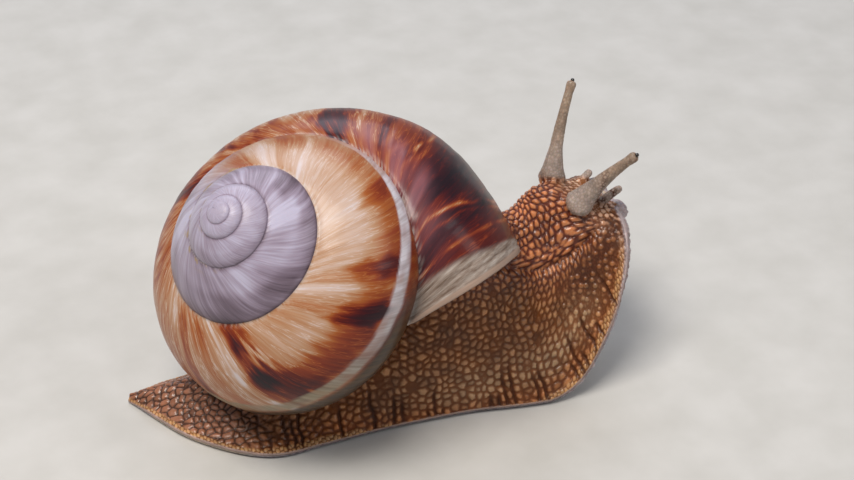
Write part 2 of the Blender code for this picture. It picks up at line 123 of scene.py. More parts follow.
# %% Node helpers
# Two kinds of node number their sockets in a way worth knowing: Map Range takes its two ranges in
# inputs 1 to 4, and a Mix of colours takes them in inputs 6 and 7 and gives the result in output 2.
def feed(tree, node, inputs):
    """Gives a node its inputs: a plain value, a hex colour, a socket, or a node for its first output."""
    for socket, value in inputs.items():
        if isinstance(value, bpy.types.Node):
            value = value.outputs[0]
        if isinstance(value, bpy.types.NodeSocket):
            tree.links.new(value, node.inputs[socket])
        else:
            node.inputs[socket].default_value = colour(value) if isinstance(value, str) else value


def add(tree, kind, inputs=None, stops=(), **settings):
    """Adds one shader node with its settings, its inputs, and a ramp's stops."""
    made = tree.nodes.new("ShaderNode" + kind)
    for name, value in settings.items():
        setattr(made, name, value)
    feed(tree, made, inputs or {})
    for n, (place, code) in enumerate(stops):
        ramp = made.color_ramp.elements
        if n == len(ramp):
            ramp.new(1.0)
        ramp[n].position = place
        ramp[n].color = colour(code)
    return made


print("kinds of shader node to choose from:", len([k for k in dir(bpy.types) if k.startswith("ShaderNode")]))


# %% Material helpers
def read_notes(tree, names):
    """The numbers stored on a mesh, as one link for each name."""
    return {name: add(tree, "Attribute", attribute_name=name).outputs["Fac"] for name in names}


def finish_named(name):
    """A new material with an empty node tree, its Principled shader linked to the output."""
    material = bpy.data.materials.new(name)
    material.use_nodes = True
    tree = material.node_tree
    tree.nodes.clear()
    shader = add(tree, "BsdfPrincipled")
    add(tree, "OutputMaterial", {"Surface": shader})
    return material, tree, shader


print("materials before any is made:", len(bpy.data.materials))


# %% Mesh helpers
def piece_from(name, points, faces, material):
    """A mesh piece from points in snail millimetres."""
    mesh = bpy.data.meshes.new(name)
    mesh.from_pydata(to_metres(points).tolist(), [], [list(face) for face in faces])
    mesh.update()
    mesh.shade_smooth()
    mesh.materials.append(material)
    piece = bpy.data.objects.new(name, mesh)
    bpy.context.scene.collection.objects.link(piece)
    return piece


def per_point(mesh, what):
    """Each point's place or normal, one row each."""
    flat = np.empty(len(mesh.vertices) * 3, np.float32)
    mesh.vertices.foreach_get(what, flat)
    return flat.reshape(-1, 3).astype(float)


def note(mesh, name, values, domain="POINT"):
    """Stores one number per point (or per face corner) for the material to read."""
    mesh.attributes.new(name, "FLOAT", domain).data.foreach_set("value", np.asarray(values, np.float32))


# %% [markdown]
# ## Camera
# The view is a three-quarter look from the snail's right and a little behind, 33 degrees above the
# ground. Aiming a camera is easiest from a target, two angles and a distance. A long lens far away
# keeps the spiral round; a wide lens close by would swell the whorl nearest to it.

# %% Camera
VIEW_TARGET = np.array((11.0, -9.82, 27.77))
VIEW_AZIMUTH = -22
VIEW_ELEVATION = 33
VIEW_DISTANCE = 220.85
LENS = 75.88


def aim(thing, azimuth, elevation, distance):
    """Puts a camera or lamp where it looks at the target; lengths in millimetres, angles in degrees."""
    a, e = math.radians(azimuth), math.radians(elevation)
    out = np.array((math.sin(a) * math.cos(e), -math.cos(a) * math.cos(e), math.sin(e)))
    thing.location = to_metres(VIEW_TARGET + out * distance)
    thing.rotation_euler = Vector(out).to_track_quat("Z", "Y").to_euler()
    bpy.context.scene.collection.objects.link(thing)


camera = bpy.data.objects.new("camera", bpy.data.cameras.new("camera"))
camera.data.lens = LENS
camera.data.clip_start = 0.01
aim(camera, VIEW_AZIMUTH, VIEW_ELEVATION, VIEW_DISTANCE)
bpy.context.scene.camera = camera
print("camera at, mm:", [round(v / MM, 1) for v in camera.location])

# %% [markdown]
# ## Floor and light
# A pale matt floor and big soft lamps show form without hard shadows. The key lamp hangs above and
# behind the camera's left, where an overcast sky is brightest. Two weaker ones fill the far side and
# the right, and the world itself gives the even light that collects in the skin's wet highlights.

# %% Floor
FLOOR_HALF = 900.0
matt_floor, tree, shader = finish_named("matt_painted_floor")
clouds = add(tree, "TexNoise", {"Scale": 220.0, "Detail": 3.0})
floor_tone = add(tree, "ValToRGB", {0: clouds}, ((0.3, "#C3C1BD"), (0.7, "#CDCBC8")))
feed(tree, shader, {"Base Color": floor_tone, "Roughness": 0.75})
corners = [(x, y, 0.0) for x, y in ((-1, -1), (1, -1), (1, 1), (-1, 1))]
floor = piece_from("floor", np.array(corners) * FLOOR_HALF, [(0, 1, 2, 3)], matt_floor)
print("floor half width, mm:", FLOOR_HALF)


# %% Lamps
LAMPS = (                      # name, azimuth, elevation, distance, size, watts, tint
    ("key", -60, 66, 500, 240, 2.5, "#FFF9F0"),
    ("back", 165, 42, 550, 320, 0.9, "#EAF1FF"),
    ("right", 50, 35, 520, 240, 0.4, "#FFFFFF"),
)
SKY_STRENGTH = 0.24
for name, azimuth, elevation, distance, size, watts, tint in LAMPS:
    lamp = bpy.data.objects.new(name, bpy.data.lights.new(name, "AREA"))
    lamp.data.size = size * MM
    lamp.data.energy = watts
    lamp.data.color = colour(tint)[:3]
    aim(lamp, azimuth, elevation, distance)
sky = bpy.data.worlds.new("sky")
sky.use_nodes = True
feed(sky.node_tree, sky.node_tree.nodes["Background"], {"Color": "#EEF2FA", "Strength": SKY_STRENGTH})
bpy.context.scene.world = sky
bpy.context.scene.view_settings.view_transform = "Standard"
print("lamps:", len(LAMPS))

# %% [markdown]
# ## The shell's spiral
# A snail's shell is one tube wound round an axis. Each whorl is the one before, bigger by a fixed
# factor per turn, so an exponential gives the seam's radius and its distance from the tip. The
# section between two seams is a bulge that starts at the seam and rounds over to the widest line.
# Modelling this by sculpting would lose the exact wind, so every point comes from two numbers: its
# turn, which is 0 just short of the lip and below 0 in older shell, and its angle round the section.
# The older whorls are drawn in towards a straight slope, and the last one is drawn in behind the lip.

# %% Spiral sizes
WHORLS = 5.5                   # the tip's first turns are drawn here too
SPIRE_RADIUS = 18.47           # seam radius where the last whorl begins
SPIRE_HEIGHT = 17.5            # tip to that seam, along the axis
DOME_POWER = 1.198             # above 1 the spire is domed, not conical
RADIUS_GROWTH = math.log(1.908)
LAST_RADIUS_GROWTH = (0.074, 0.591)
LAST_DROP_GROWTH = (0.998, -0.249)
GROWTH_EASE = 0.12             # turns over which the last whorl's own growth sets in
SEAM_ANGLE = 16.5              # section angles in degrees: 0 points to the tip, 90 outward
WIDEST_ANGLE = 90.0
BASE_FLATNESS = 0.95
NAVEL_RADIUS = 2.6
NAVEL_ANGLE = 215.0
INNER_LIP_ANGLE = 168.0        # the inner wall reaches the lip's plane down to here
INNER_LIP_TURN = -0.865        # and below it the wall starts at this turn
SEAM_SINK = 30.0               # the last seam dips this far below the widest line
SEAM_SINK_TURNS = 0.10
SHOULDER_ANGLE = 75.0          # the whorl follows its sunk seam up to here
OLD_WHORL_FLATNESS = 0.6       # how far the older whorls' sides draw in towards a straight slope
ROUND_FROM_TURN = -1.08        # later than this the whorl is fully round
SHELL_TIP = Vector((-14.76, -8.36, 37.52))
SHELL_TILT = 41.4
SHELL_HEADING = 211.0
SHELL_SPIN = 92.2
LIP_REACH = 0.015              # the mouth's corner lies this far past turn 0
LIP_NORMAL_AT_ZERO = Vector((0.390, -0.608, -0.692))
LIP_PINCH = 1.0                # mm the last whorl is drawn in just behind the lip
PINCH_TURNS = (-0.23, -0.14)   # where that starts and where it is full
FLARE_TURNS = (-0.13, -0.06)   # the lip itself flares out again by half of it
PINCH_ANGLES = (25.0, 80.0, 110.0, 165.0)      # it grows from the first to the second, and dies out
print("each whorl is wider than the one before by a factor of", round(math.exp(RADIUS_GROWTH), 3))


# %% Spiral functions
def growth(x, linear, squared):
    """Turns of steady growth; the last whorl grows by its own curve, joined smoothly."""
    span = 2 * GROWTH_EASE
    t = np.clip((x + GROWTH_EASE) / span, 0, 1)
    end = linear * GROWTH_EASE + squared * GROWTH_EASE ** 2
    end_rate = linear + 2 * squared * GROWTH_EASE
    eased = ((2 * t ** 3 - 3 * t ** 2 + 1) * -GROWTH_EASE + (t ** 3 - 2 * t ** 2 + t) * span
             + (3 * t ** 2 - 2 * t ** 3) * end + (t ** 3 - t ** 2) * end_rate * span)
    late = linear * x + squared * x * x
    return np.where(x < -GROWTH_EASE, x, np.where(x > GROWTH_EASE, late, eased))


def widest(turn):
    """Radius and depth below the tip of the whorl's widest line; turn is 0 just short of the lip."""
    radius = SPIRE_RADIUS * np.exp(RADIUS_GROWTH * growth(turn + 1, *LAST_RADIUS_GROWTH))
    depth = SPIRE_HEIGHT * np.exp(RADIUS_GROWTH * DOME_POWER * growth(turn + 1, *LAST_DROP_GROWTH))
    return radius, depth


print("radius of the widest line at turn 0, mm:", round(float(widest(0.0)[0]), 1))


# %% Section of a whorl
def next_seam_angle(turn):
    """Section angle at which the next whorl's seam lies."""
    return WIDEST_ANGLE + SEAM_SINK * ease(-1 - SEAM_SINK_TURNS, -1, turn)


def section(turn, angle):
    """Radius and depth of one point of the whorl's section."""
    radius, depth = widest(turn)
    seam_radius, seam_depth = widest(turn - 1)
    start = math.radians(SEAM_ANGLE)
    under = angle > WIDEST_ANGLE
    base_across = (radius - NAVEL_RADIUS) / (1 + math.sin(math.radians(NAVEL_ANGLE - 180)))
    across = np.where(under, base_across, (radius - seam_radius) / (1 - math.sin(start)))
    along = (depth - seam_depth) / math.cos(start) * np.where(under, BASE_FLATNESS, 1.0)
    a = np.radians(angle)
    round_radius, round_depth = radius - across + across * np.sin(a), depth - along * np.cos(a)
    out_share = (round_radius - seam_radius) / (radius - seam_radius)
    down_share = (round_depth - seam_depth) / (depth - seam_depth)
    straighten = (1 - ease(ROUND_FROM_TURN - 0.22, ROUND_FROM_TURN, turn)) * OLD_WHORL_FLATNESS
    straighten = straighten * (0.35 + 0.65 * ease(-3.4, -2.3, turn))
    straighten = straighten * np.where(under, 0.0, 0.5) * (down_share - out_share)
    return (round_radius + straighten * (radius - seam_radius),
            round_depth - straighten * (depth - seam_depth))


print("radius and depth at the lip's widest place, mm:", np.round(section(0.0, WIDEST_ANGLE), 1))


# %% Shell points
SHELL_FRAME = np.array(Matrix.Translation(SHELL_TIP)
                       @ Matrix.Rotation(math.radians(SHELL_HEADING), 4, "Z")
                       @ Matrix.Rotation(math.radians(SHELL_TILT), 4, "Y")
                       @ Matrix.Rotation(math.radians(SHELL_SPIN), 4, "Z"))


def in_shell_frame(radius, around, depth):
    local = np.stack(np.broadcast_arrays(radius * np.cos(around), radius * np.sin(around), -depth), -1)
    return local @ SHELL_FRAME[:3, :3].T + SHELL_FRAME[:3, 3]


def shell_point(turn, angle):
    """A point of the shell's outer face; near the lip the seam dips below the whorl before."""
    turn, angle = np.broadcast_arrays(np.asarray(turn, float), np.asarray(angle, float))
    radius, depth = section(turn, angle)
    plain = widest(turn - 1)
    sunk = section(turn - 1, next_seam_angle(turn - 1))
    keep = 1 - ease(SEAM_ANGLE, SHOULDER_ANGLE, angle)
    pinch = LIP_PINCH * ease(*PINCH_TURNS, turn) * ease(*PINCH_ANGLES[:2], angle)
    pinch = pinch * (1 - ease(*PINCH_ANGLES[2:], angle)) * (1 - 0.5 * ease(*FLARE_TURNS, turn))
    return in_shell_frame(radius - pinch + keep * (sunk[0] - plain[0]), -TURN * turn,
                          depth + keep * (sunk[1] - plain[1]))


LIP_CORNER = shell_point(LIP_REACH, SEAM_ANGLE)
LIP_SPIN = Matrix.Rotation(-TURN * LIP_REACH, 3, Vector(SHELL_FRAME[:3, 2]))
LIP_NORMAL = np.array(LIP_SPIN @ LIP_NORMAL_AT_ZERO)


print("the mouth's corner, mm:", np.round(LIP_CORNER, 1))


# %% Lag of the lip
def lip_turn(angle, low, high):
    """Turn at which a spiral line of the shell meets the flat plane of the lip."""
    low, high = np.full(np.shape(angle), low), np.full(np.shape(angle), high)
    for _ in range(40):
        middle = (low + high) / 2
        before = (shell_point(middle, angle) - LIP_CORNER) @ LIP_NORMAL < 0
        low, high = np.where(before, middle, low), np.where(before, high, middle)
    return (low + high) / 2


LIP_ANGLES = np.linspace(SEAM_ANGLE, NAVEL_ANGLE, 60)
LIP_TURNS = lip_turn(LIP_ANGLES, -0.6, 0.4)


def lip_lag(angle):
    """How far the lip lags at this angle: growth lines all lag by the same amount."""
    return np.interp(angle, LIP_ANGLES, LIP_TURNS)


print("shell diameter across the last whorl, mm:", round(float(widest(0.0)[0] + widest(-0.5)[0]), 1))

# %% [markdown]
# ## The shell's surface grid
# The surface is a grid of turns by section angle. Each seam joins the last row of one whorl to the
# first row of the next, so those two rows share their points. The colour pattern must not blur
# across that join, so pattern numbers are kept per face corner: the same point can end one whorl
# and begin the next. The last column lies on the lip's plane.

# %% Shell grid
STEPS = 600                    # columns per turn
UPPER_ROWS = 54
LOWER_ROWS = 40
SUNK_ANGLE = WIDEST_ANGLE + SEAM_SINK

steps = np.arange(-int(WHORLS * STEPS), 1)
plain_turn = LIP_REACH + steps / STEPS
row_share = np.arange(UPPER_ROWS + 1) / UPPER_ROWS
seam_end = np.where(steps < -STEPS, next_seam_angle(plain_turn), SUNK_ANGLE)
upper_angle = SEAM_ANGLE + (seam_end[:, None] - SEAM_ANGLE) * row_share
last_share = np.clip(steps / STEPS + 1, 0, 1)[:, None]
last_turn = LIP_REACH - 1 + last_share * (1 - LIP_REACH + lip_lag(upper_angle))
upper_turn = np.where(last_share > 0, last_turn, plain_turn[:, None])

lower_angle = SUNK_ANGLE + (NAVEL_ANGLE - SUNK_ANGLE) * np.arange(1, LOWER_ROWS + 1) / LOWER_ROWS
lower_start = np.where(lower_angle <= INNER_LIP_ANGLE,
                       lip_turn(lower_angle, -1.3, INNER_LIP_TURN), INNER_LIP_TURN)
base_share = (np.arange(STEPS + 1) / STEPS)[:, None]
lower_turn = lower_start + base_share * (lip_lag(lower_angle) - lower_start)

raw_upper = np.arange(upper_turn.size).reshape(upper_turn.shape)
raw_lower = np.arange(lower_turn.size).reshape(lower_turn.shape) + upper_turn.size
shared_upper = raw_upper.copy()
shared_upper[:-STEPS, -1] = raw_upper[STEPS:, 0]
shell_turn = np.concatenate([upper_turn.ravel(), lower_turn.ravel()])
shell_angle = np.concatenate([upper_angle.ravel(), np.broadcast_to(lower_angle, lower_turn.shape).ravel()])
shell_points = shell_point(shell_turn, shell_angle)
print("shell grid points:", len(shell_points))


# %% Shell faces
def grid_faces(ids):
    """Four-sided faces between the rows and columns of a grid of point numbers."""
    return np.stack([ids[:-1, :-1], ids[:-1, 1:], ids[1:, 1:], ids[1:, :-1]], -1).reshape(-1, 4)


lower_ids = np.concatenate([shared_upper[-STEPS - 1:, -1:], raw_lower], 1)
lower_raw = np.concatenate([raw_upper[-STEPS - 1:, -1:], raw_lower], 1)
shell_faces = np.concatenate([grid_faces(shared_upper), grid_faces(lower_ids)]).tolist()
shell_corners = np.concatenate([grid_faces(raw_upper), grid_faces(lower_raw)]).tolist()

tip_id = len(shell_points)
navel_id = tip_id + 1
base_edge = lower_ids[:, -1]
tip_point = SHELL_FRAME[:3, 3] * 0.7 + shell_points[raw_upper[:STEPS, 0]].mean(0) * 0.3
navel_depth = ((shell_points[base_edge] - SHELL_FRAME[:3, 3]) @ SHELL_FRAME[:3, :3])[:, 2].mean()
navel_point = in_shell_frame(0.0, 0.0, -navel_depth)
shell_points = np.vstack([shell_points, tip_point, navel_point])
shell_turn = np.append(shell_turn, [-WHORLS, -0.5])
shell_angle = np.append(shell_angle, [SEAM_ANGLE, NAVEL_ANGLE])

inner_row = int(np.max(np.nonzero(lower_angle <= INNER_LIP_ANGLE)[0])) + 1
inner_lip = [*lower_ids[0, inner_row:], navel_id]
fans = [(tip_id, raw_upper[k, 0], raw_upper[k + 1, 0]) for k in range(STEPS)]
fans.append((tip_id, *raw_upper[0, ::-1]))
fans += [(navel_id, far, near) for near, far in zip(base_edge, base_edge[1:])]
fans += [(base_edge[-1], near, far) for near, far in zip(inner_lip, inner_lip[1:])]
shell_faces += [[int(i) for i in fan] for fan in fans]
shell_corners += [[int(i) for i in fan] for fan in fans]
mouth_ids = np.concatenate([shared_upper[-1], lower_ids[-1, 1:], lower_ids[0, inner_row:0:-1]])
print("points round the shell's mouth:", len(mouth_ids))

# %% [markdown]
# ## The lip
# The edge of the mouth is a thin, rounded rim, and behind it the tube's smooth inside runs back into
# the dark. Rings of points are stepped inwards from the mouth's edge: out over a half-round, then
# down the inner wall to a floor that the mantle hides.

# %% Lip rings
LIP_THICKNESS = 0.55
LIP_ROUND = 0.16
INNER_WALL = 4.2
LIP_PROFILE = [(LIP_THICKNESS * (1 - math.cos(math.pi * k / 6)) / 2, LIP_ROUND * math.sin(math.pi * k / 6))
               for k in range(1, 7)]
LIP_PROFILE += [(LIP_THICKNESS + 0.12 * depth, -depth) for depth in np.linspace(0.4, INNER_WALL, 10)]

rim_points = shell_points[mouth_ids]
mouth_middle = rim_points.mean(0)
mouth_middle = mouth_middle - LIP_NORMAL * ((mouth_middle - LIP_CORNER) @ LIP_NORMAL)
inward = mouth_middle - rim_points
inward /= np.linalg.norm(inward, axis=1)[:, None]


def lip_ring(step_in, height):
    """The mouth's edge, moved towards its middle and along the lip's normal."""
    return rim_points + inward * step_in + LIP_NORMAL * height


last_ring = mouth_ids
ring_ids = []
for step_in, height in LIP_PROFILE:
    ring = np.arange(len(mouth_ids)) + len(shell_points)
    shell_points = np.vstack([shell_points, lip_ring(step_in, height)])
    pairs = np.stack([last_ring, np.roll(last_ring, -1), np.roll(ring, -1), ring], -1)
    shell_faces += pairs.tolist()
    shell_corners += pairs.tolist()
    ring_ids.append(ring)
    last_ring = ring
floor_id = len(shell_points)
shell_points = np.vstack([shell_points, mouth_middle - LIP_NORMAL * INNER_WALL])
fan = [[int(a), int(b), floor_id] for a, b in zip(last_ring, np.roll(last_ring, -1))]
shell_faces += fan
shell_corners += fan
ring_turns = np.tile(shell_turn[mouth_ids], len(LIP_PROFILE))
ring_angles = np.tile(shell_angle[mouth_ids], len(LIP_PROFILE))
shell_turn = np.concatenate([shell_turn, ring_turns, [0.0]])
shell_angle = np.concatenate([shell_angle, ring_angles, [WIDEST_ANGLE]])
inside = np.zeros(len(shell_points))
inside[ring_ids[5][0]:] = 1.0
print("shell faces:", len(shell_faces))

# %% [markdown]
# ## Relief of the shell
# A snail adds shell at the lip in small steps, so fine ridges cross each whorl parallel to the lip.
# They are real shape, not only shading: the points are pushed along their normals by smooth random
# heights that depend on the age, which is the turn less the lip's lag. The last few millimetres are
# rougher, built of thin overlapping leaves, and each seam lies in a fine groove.

# %% Shell relief
RIDGES_PER_TURN = 105          # about 1.4 mm apart on the last whorl
RIDGE_HEIGHT = 0.045
STEP_HEIGHT = 0.07             # slower growth pauses, about 6 mm apart
LEAF_HEIGHT = 0.10
HAMMERED_HEIGHT = 0.05
LIP_RIM_TURNS = 0.0032         # the smooth rolled rim is about 0.5 mm wide
LIP_RIM_HEIGHT = 0.10
SEAM_GROOVE = 0.09
SEAM_GROOVE_WIDTH = 1.8        # degrees of section angle

to_lip = shell_turn - lip_lag(shell_angle)     # 0 at the lip, below 0 in older shell
age = to_lip + LIP_REACH
size_here = widest(shell_turn)[0] / SPIRE_RADIUS
worn_strip_width = np.interp(shell_angle, (17, 30, 60, 100, 180), (0.036, 0.028, 0.018, 0.009, 0.009))
worn = ease(-1.25, -0.95, to_lip / worn_strip_width) * (shell_turn > -0.6)

ridges = wander(age * RIDGES_PER_TURN, shell_angle / 40, 1) * 0.6
ridges += wander(age * RIDGES_PER_TURN * 2.3, shell_angle / 30, 2) * 0.4
pauses = wander(age * 24, shell_angle / 90, 3)
hammered = wander(shell_turn * 40, shell_angle / 9, 4)
lip_rim = ease(-LIP_RIM_TURNS * 1.4, -LIP_RIM_TURNS, to_lip) * (shell_turn > -0.6)
leaves = wander(age * 420, shell_angle / 14, 5) + 0.8 * wander(age * 260, shell_angle / 4, 6)
relief = size_here * (RIDGE_HEIGHT * ridges + STEP_HEIGHT * pauses * 0.6 + HAMMERED_HEIGHT * hammered * 0.5)
relief *= ease(-3.6, -2.0, shell_turn)
relief += worn * (1 - lip_rim) * LEAF_HEIGHT * leaves
relief += lip_rim * LIP_RIM_HEIGHT
relief -= SEAM_GROOVE * size_here * hump(SEAM_ANGLE, SEAM_GROOVE_WIDTH, shell_angle)
relief -= 0.4 * SEAM_GROOVE * size_here * np.where(age < -1.0, hump(WIDEST_ANGLE, 2.0, shell_angle), 0)
relief *= 1 - inside
relief[mouth_ids] = 0.0
print("relief from", round(float(relief.min()), 2), "to", round(float(relief.max()), 2), "mm")

# %% [markdown]
# ## The shell's pattern
# Four things colour the shell. The oldest whorls have lost their horny outer skin, and the chalk
# beneath looks lavender grey; painted shade darkens its seams and the lower part of each whorl, and
# painted light pales it by the seam. Later whorls keep it: cream near the seam, then tan, orange,
# rust and maroon, laid down in streaks that follow the growth lines. A pale band runs round the
# widest line and turns olive along the shell, partly its own colour and partly painted shade, and the
# base below it is brown, darkened further with painted shade. One number, the pigment, carries the
# darkness of the streaks. It is a slow ramp along the shell's age, a few dark patches and pale lines,
# and streaky noise.

# %% Shell pattern numbers
AGE_RAMP = ((-6.0, 0.30), (-1.40, 0.22), (-1.32, 0.42), (-1.265, 0.14), (-1.23, 0.32), (-1.185, 0.10),
            (-1.12, 0.16), (-1.04, 0.19), (-0.95, 0.25), (-0.86, 0.29), (-0.79, 0.32), (-0.73, 0.26),
            (-0.69, 0.30), (-0.62, 0.36), (-0.52, 0.40), (-0.45, 0.47), (-0.33, 0.38), (-0.27, 0.43),
            (-0.19, 0.43), (-0.155, 0.53), (-0.12, 0.66), (-0.05, 0.74), (0.02, 0.70))
DARK_PATCHES = (               # age at the seam side, age at the far side, half width, angles, strength
    (-1.050, -1.050, 0.014, 46, 76, 0.20),
    (-0.950, -0.955, 0.010, 14, 44, 0.12),
    (-0.960, -0.955, 0.012, 42, 76, 0.24),
    (-0.900, -0.900, 0.008, 14, 46, 0.15),
    (-0.896, -0.896, 0.014, 44, 76, 0.38),
    (-0.775, -0.766, 0.021, 12, 32, 0.30),
    (-0.760, -0.758, 0.013, 24, 60, 0.28),
    (-0.764, -0.770, 0.030, 46, 82, 0.48),
    (-0.855, -0.850, 0.055, 52, 77, 0.14),
    (-0.660, -0.650, 0.010, 16, 80, 0.20),
    (-0.440, -0.395, 0.026, 14, 70, 0.30),
    (-0.365, -0.350, 0.007, 14, 70, 0.20),
    (-0.238, -0.207, 0.017, 10, 130, 0.42),
    (-0.170, -0.160, 0.006, 14, 130, 0.18),
    (-0.085, -0.085, 0.030, 36, 130, 0.16),
    (-0.046, -0.040, 0.008, 14, 130, 0.16),
)
PALE_LINES = (                 # age at the seam side, age at the far side, half width, strength
    (-1.185, -1.180, 0.006, 0.20),
    (-0.934, -0.930, 0.005, 0.16),
    (-0.730, -0.731, 0.0045, 0.34),
    (-0.256, -0.226, 0.0025, 0.26),
    (-0.200, -0.186, 0.0030, 0.20),
    (-0.135, -0.113, 0.0022, 0.40),
    (-0.070, -0.040, 0.0020, 0.50),
    (-0.058, -0.034, 0.0014, 0.36),
    (-0.034, -0.018, 0.0016, 0.40),
)

print("dark patches:", len(DARK_PATCHES), "pale lines:", len(PALE_LINES))

# %% Ramp, patches and lines
pigment = np.interp(age, *zip(*AGE_RAMP))
pigment += 0.26 * between(-1.36, -1.20, -0.84, -0.78, age) * ease(36, 66, shell_angle)
pigment += 0.12 * between(-0.98, -0.88, -0.5, -0.3, age) * ease(72, 92, shell_angle)
lean = (shell_angle - 17) / 60
for near_age, far_age, half_width, first_angle, last_angle, strength in DARK_PATCHES:
    frayed = shell_angle + 9 * wander(age * 140, near_age * 10, 27)
    along = between(first_angle - 6, first_angle + 6, last_angle - 4, last_angle + 4, frayed)
    middle = near_age + (far_age - near_age) * lean
    ragged = half_width * (1 + 0.30 * wander(shell_angle / 7, near_age * 50, 7))
    pigment += strength * along * np.exp(-((age - middle) / ragged) ** 4)
for near_age, far_age, half_width, strength in PALE_LINES:
    middle = near_age + (far_age - near_age) * lean + 0.0025 * wander(shell_angle / 12, near_age * 40, 16)
    broken = 0.6 + 0.8 * wander(shell_angle / 9, near_age * 30, 17)
    pigment -= strength * np.clip(broken, 0, 1) * hump(middle, half_width, age)

print("pigment from", round(float(pigment.min()), 2), "to", round(float(pigment.max()), 2))

# %% Streaks
sweep = np.interp(age, (-0.70, -0.55, -0.25, -0.10, 0), (0.004, 0.034, 0.028, 0.022, 0.018))
swept_age = age + sweep * (1 - ease(17, 50, shell_angle))      # growth lines swing back at the seam
streaks = 0.40 * wander(swept_age * 62, shell_angle / 55, 8)
streaks += 0.45 * wander(swept_age * 150, shell_angle / 45, 9)
for sign, pitch, seed in ((0.50, 118, 14), (-0.45, 97, 15), (-0.35, 163, 18)):
    line = np.clip(1 - 5 * np.abs(wander(swept_age * pitch, shell_angle / 50, seed)), 0, 1)
    streaks += sign * line * (0.5 + wander(age * 30, shell_angle / 14, seed + 20))
blotches = wander(age * 16, shell_angle / 24, 10)
streak_gain = np.interp(age, (-1.5, -1.2, -0.85, -0.7, -0.2, -0.1, 0), (0.4, 0.20, 0.24, 0.6, 0.9, 0.55, 0.5))
pigment += 0.25 * streaks * streak_gain + 0.10 * blotches
line_gain = np.interp(age, (-1.5, -0.9, -0.7, -0.2, -0.12, 0), (0.40, 0.45, 0.80, 0.90, 0.60, 0.55))

print("with streaks, from", round(float(pigment.min()), 2), "to", round(float(pigment.max()), 2))

# %% Pale band and bare chalk
BAND_TURNS = (-1.32, -0.95, -0.78, -0.55)
band_turns = ease(-1.28, -1.12, shell_turn) * (1 - ease(-0.70, -0.50, shell_turn) * 0.8)
band_top = np.interp(age, BAND_TURNS, (77, 74.5, 78, 80))
band_end = np.interp(age, BAND_TURNS, (95, 86, 88, 90)) + 3 * ease(-0.97, -1.04, age)
band_wave = 0.8 * wander(age * 60, 0, 19)
pale_band = band_turns * ease(-1.5, 1.0, shell_angle - band_top + band_wave)
pale_band *= 1 - ease(-2.0, 2.0, shell_angle - band_end + band_wave)
pale_band *= 0.85 + 0.3 * wander(age * 90, shell_angle / 6, 22)
lavender = 1 - ease(-1.42, -1.27, age + 0.05 * wander(shell_angle / 16, age * 12, 11))
# Darker and paler patches of the bare chalk: the broad dark ones low on the whorl are painted shade, the pale
# ones by the seam are painted light, and the narrow dark ones are streaks.
LAVENDER_PATCHES_LIGHT_AND_SHADE = (            # age, half width, first and last section angle, strength (below 0 is paler)
    (-1.70, 0.12, 46, 90, 0.26),
    (-1.92, 0.12, 54, 90, 0.14),
    (-2.10, 0.035, 40, 85, 0.30),
    (-1.857, 0.012, 32, 80, 0.28),
    (-2.02, 0.05, 18, 58, -0.30),
    (-1.80, 0.045, 17, 52, -0.26),
    (-1.47, 0.08, 17, 40, -0.22),
    (-2.72, 0.16, 50, 90, 0.14),
)
near_tip = 1 - ease(-3.3, -2.2, shell_turn)
chalk_streaks = 0.16 * wander(age * 22, shell_angle / 30, 12) + 0.18 * wander(age * 75, shell_angle / 60, 13)
# painted shade: the bare chalk darkens towards the lower edge of each whorl
lavender_dark_and_shade = 0.34 + chalk_streaks * (1 - 0.8 * near_tip) + 0.12 * ease(55, 88, shell_angle)
# painted shadow: the bare chalk darkens along the seams on both sides of each whorl
painted_far_seam_shadow = np.where(shell_turn < -1.2, hump(WIDEST_ANGLE, 4.0, shell_angle), 0)
painted_seam_shadow = np.maximum(hump(SEAM_ANGLE, 3.5, shell_angle), painted_far_seam_shadow)
lavender_dark_and_shade += 0.30 * painted_seam_shadow * ease(-4.4, -3.6, shell_turn) - 0.14 * near_tip - 0.04
for middle, half_width, first_angle, last_angle, strength in LAVENDER_PATCHES_LIGHT_AND_SHADE:
    along = between(first_angle - 8, first_angle + 8, last_angle - 6, last_angle + 8, shell_angle)
    lavender_dark_and_shade += strength * along * hump(middle, half_width, age)
print("points on the pale band:", int((pale_band > 0.5).sum()), "on bare chalk:", int((lavender > 0.5).sum()))

# %% Seams, base and the numbers kept
seam_thread = hump(SEAM_ANGLE + 0.6, 1.1, shell_angle) * ease(-0.2, 0.25, wander(shell_turn * 320, 0, 23))
seam_thread *= ease(-1.9, -1.6, shell_turn) * (0.45 + 0.2 * ease(-0.35, -0.2, shell_turn))
mauve = hump(26, 12, shell_angle) * hump(-0.125, 0.075, age)
mauve = np.clip(mauve * (0.45 + 0.5 * wander(age * 70, shell_angle / 40, 25)), 0, 0.45)
# darker below the band: partly the base's own brown, partly painted shade
base_brown_and_shade = ease(85, 94, shell_angle) * between(-0.95, -0.85, -0.5, -0.35, age) * (1 - pale_band)
golden = 0.75 * hump(SEAM_ANGLE + 3, 6, shell_angle) * ease(0.16, 0.34, wander(age * 60, shell_angle / 4, 24))
golden *= between(-1.80, -1.66, -1.35, -1.25, age) + 0.6 * between(-2.75, -2.6, -2.5, -2.3, age)
shell_notes = {"age": age, "angle": shell_angle, "pigment": pigment, "lavender": lavender,
               "lavender_dark_and_shade": lavender_dark_and_shade, "pale_band": pale_band, "worn": worn, "inside": inside,
               "seam_thread": seam_thread, "golden": golden, "line_gain": line_gain, "lip_rim": lip_rim,
               "mauve": mauve, "base_brown_and_shade": base_brown_and_shade}
print("numbers kept for the shell's colour:", len(shell_notes))

# %% [markdown]
# ## Shell finish
# Land snail shell is aragonite, a chalky mineral, under a thin horny skin that shines like varnish.
# Aragonite has an IOR near 1.53. The skin gives a second, sharper highlight, so a coat is used over
# a half-rough base. A colour ramp turns pigment into cream, tan, orange, rust and maroon black, and
# node noise adds streaks finer than the mesh. The worn strip at the lip has lost its varnish.

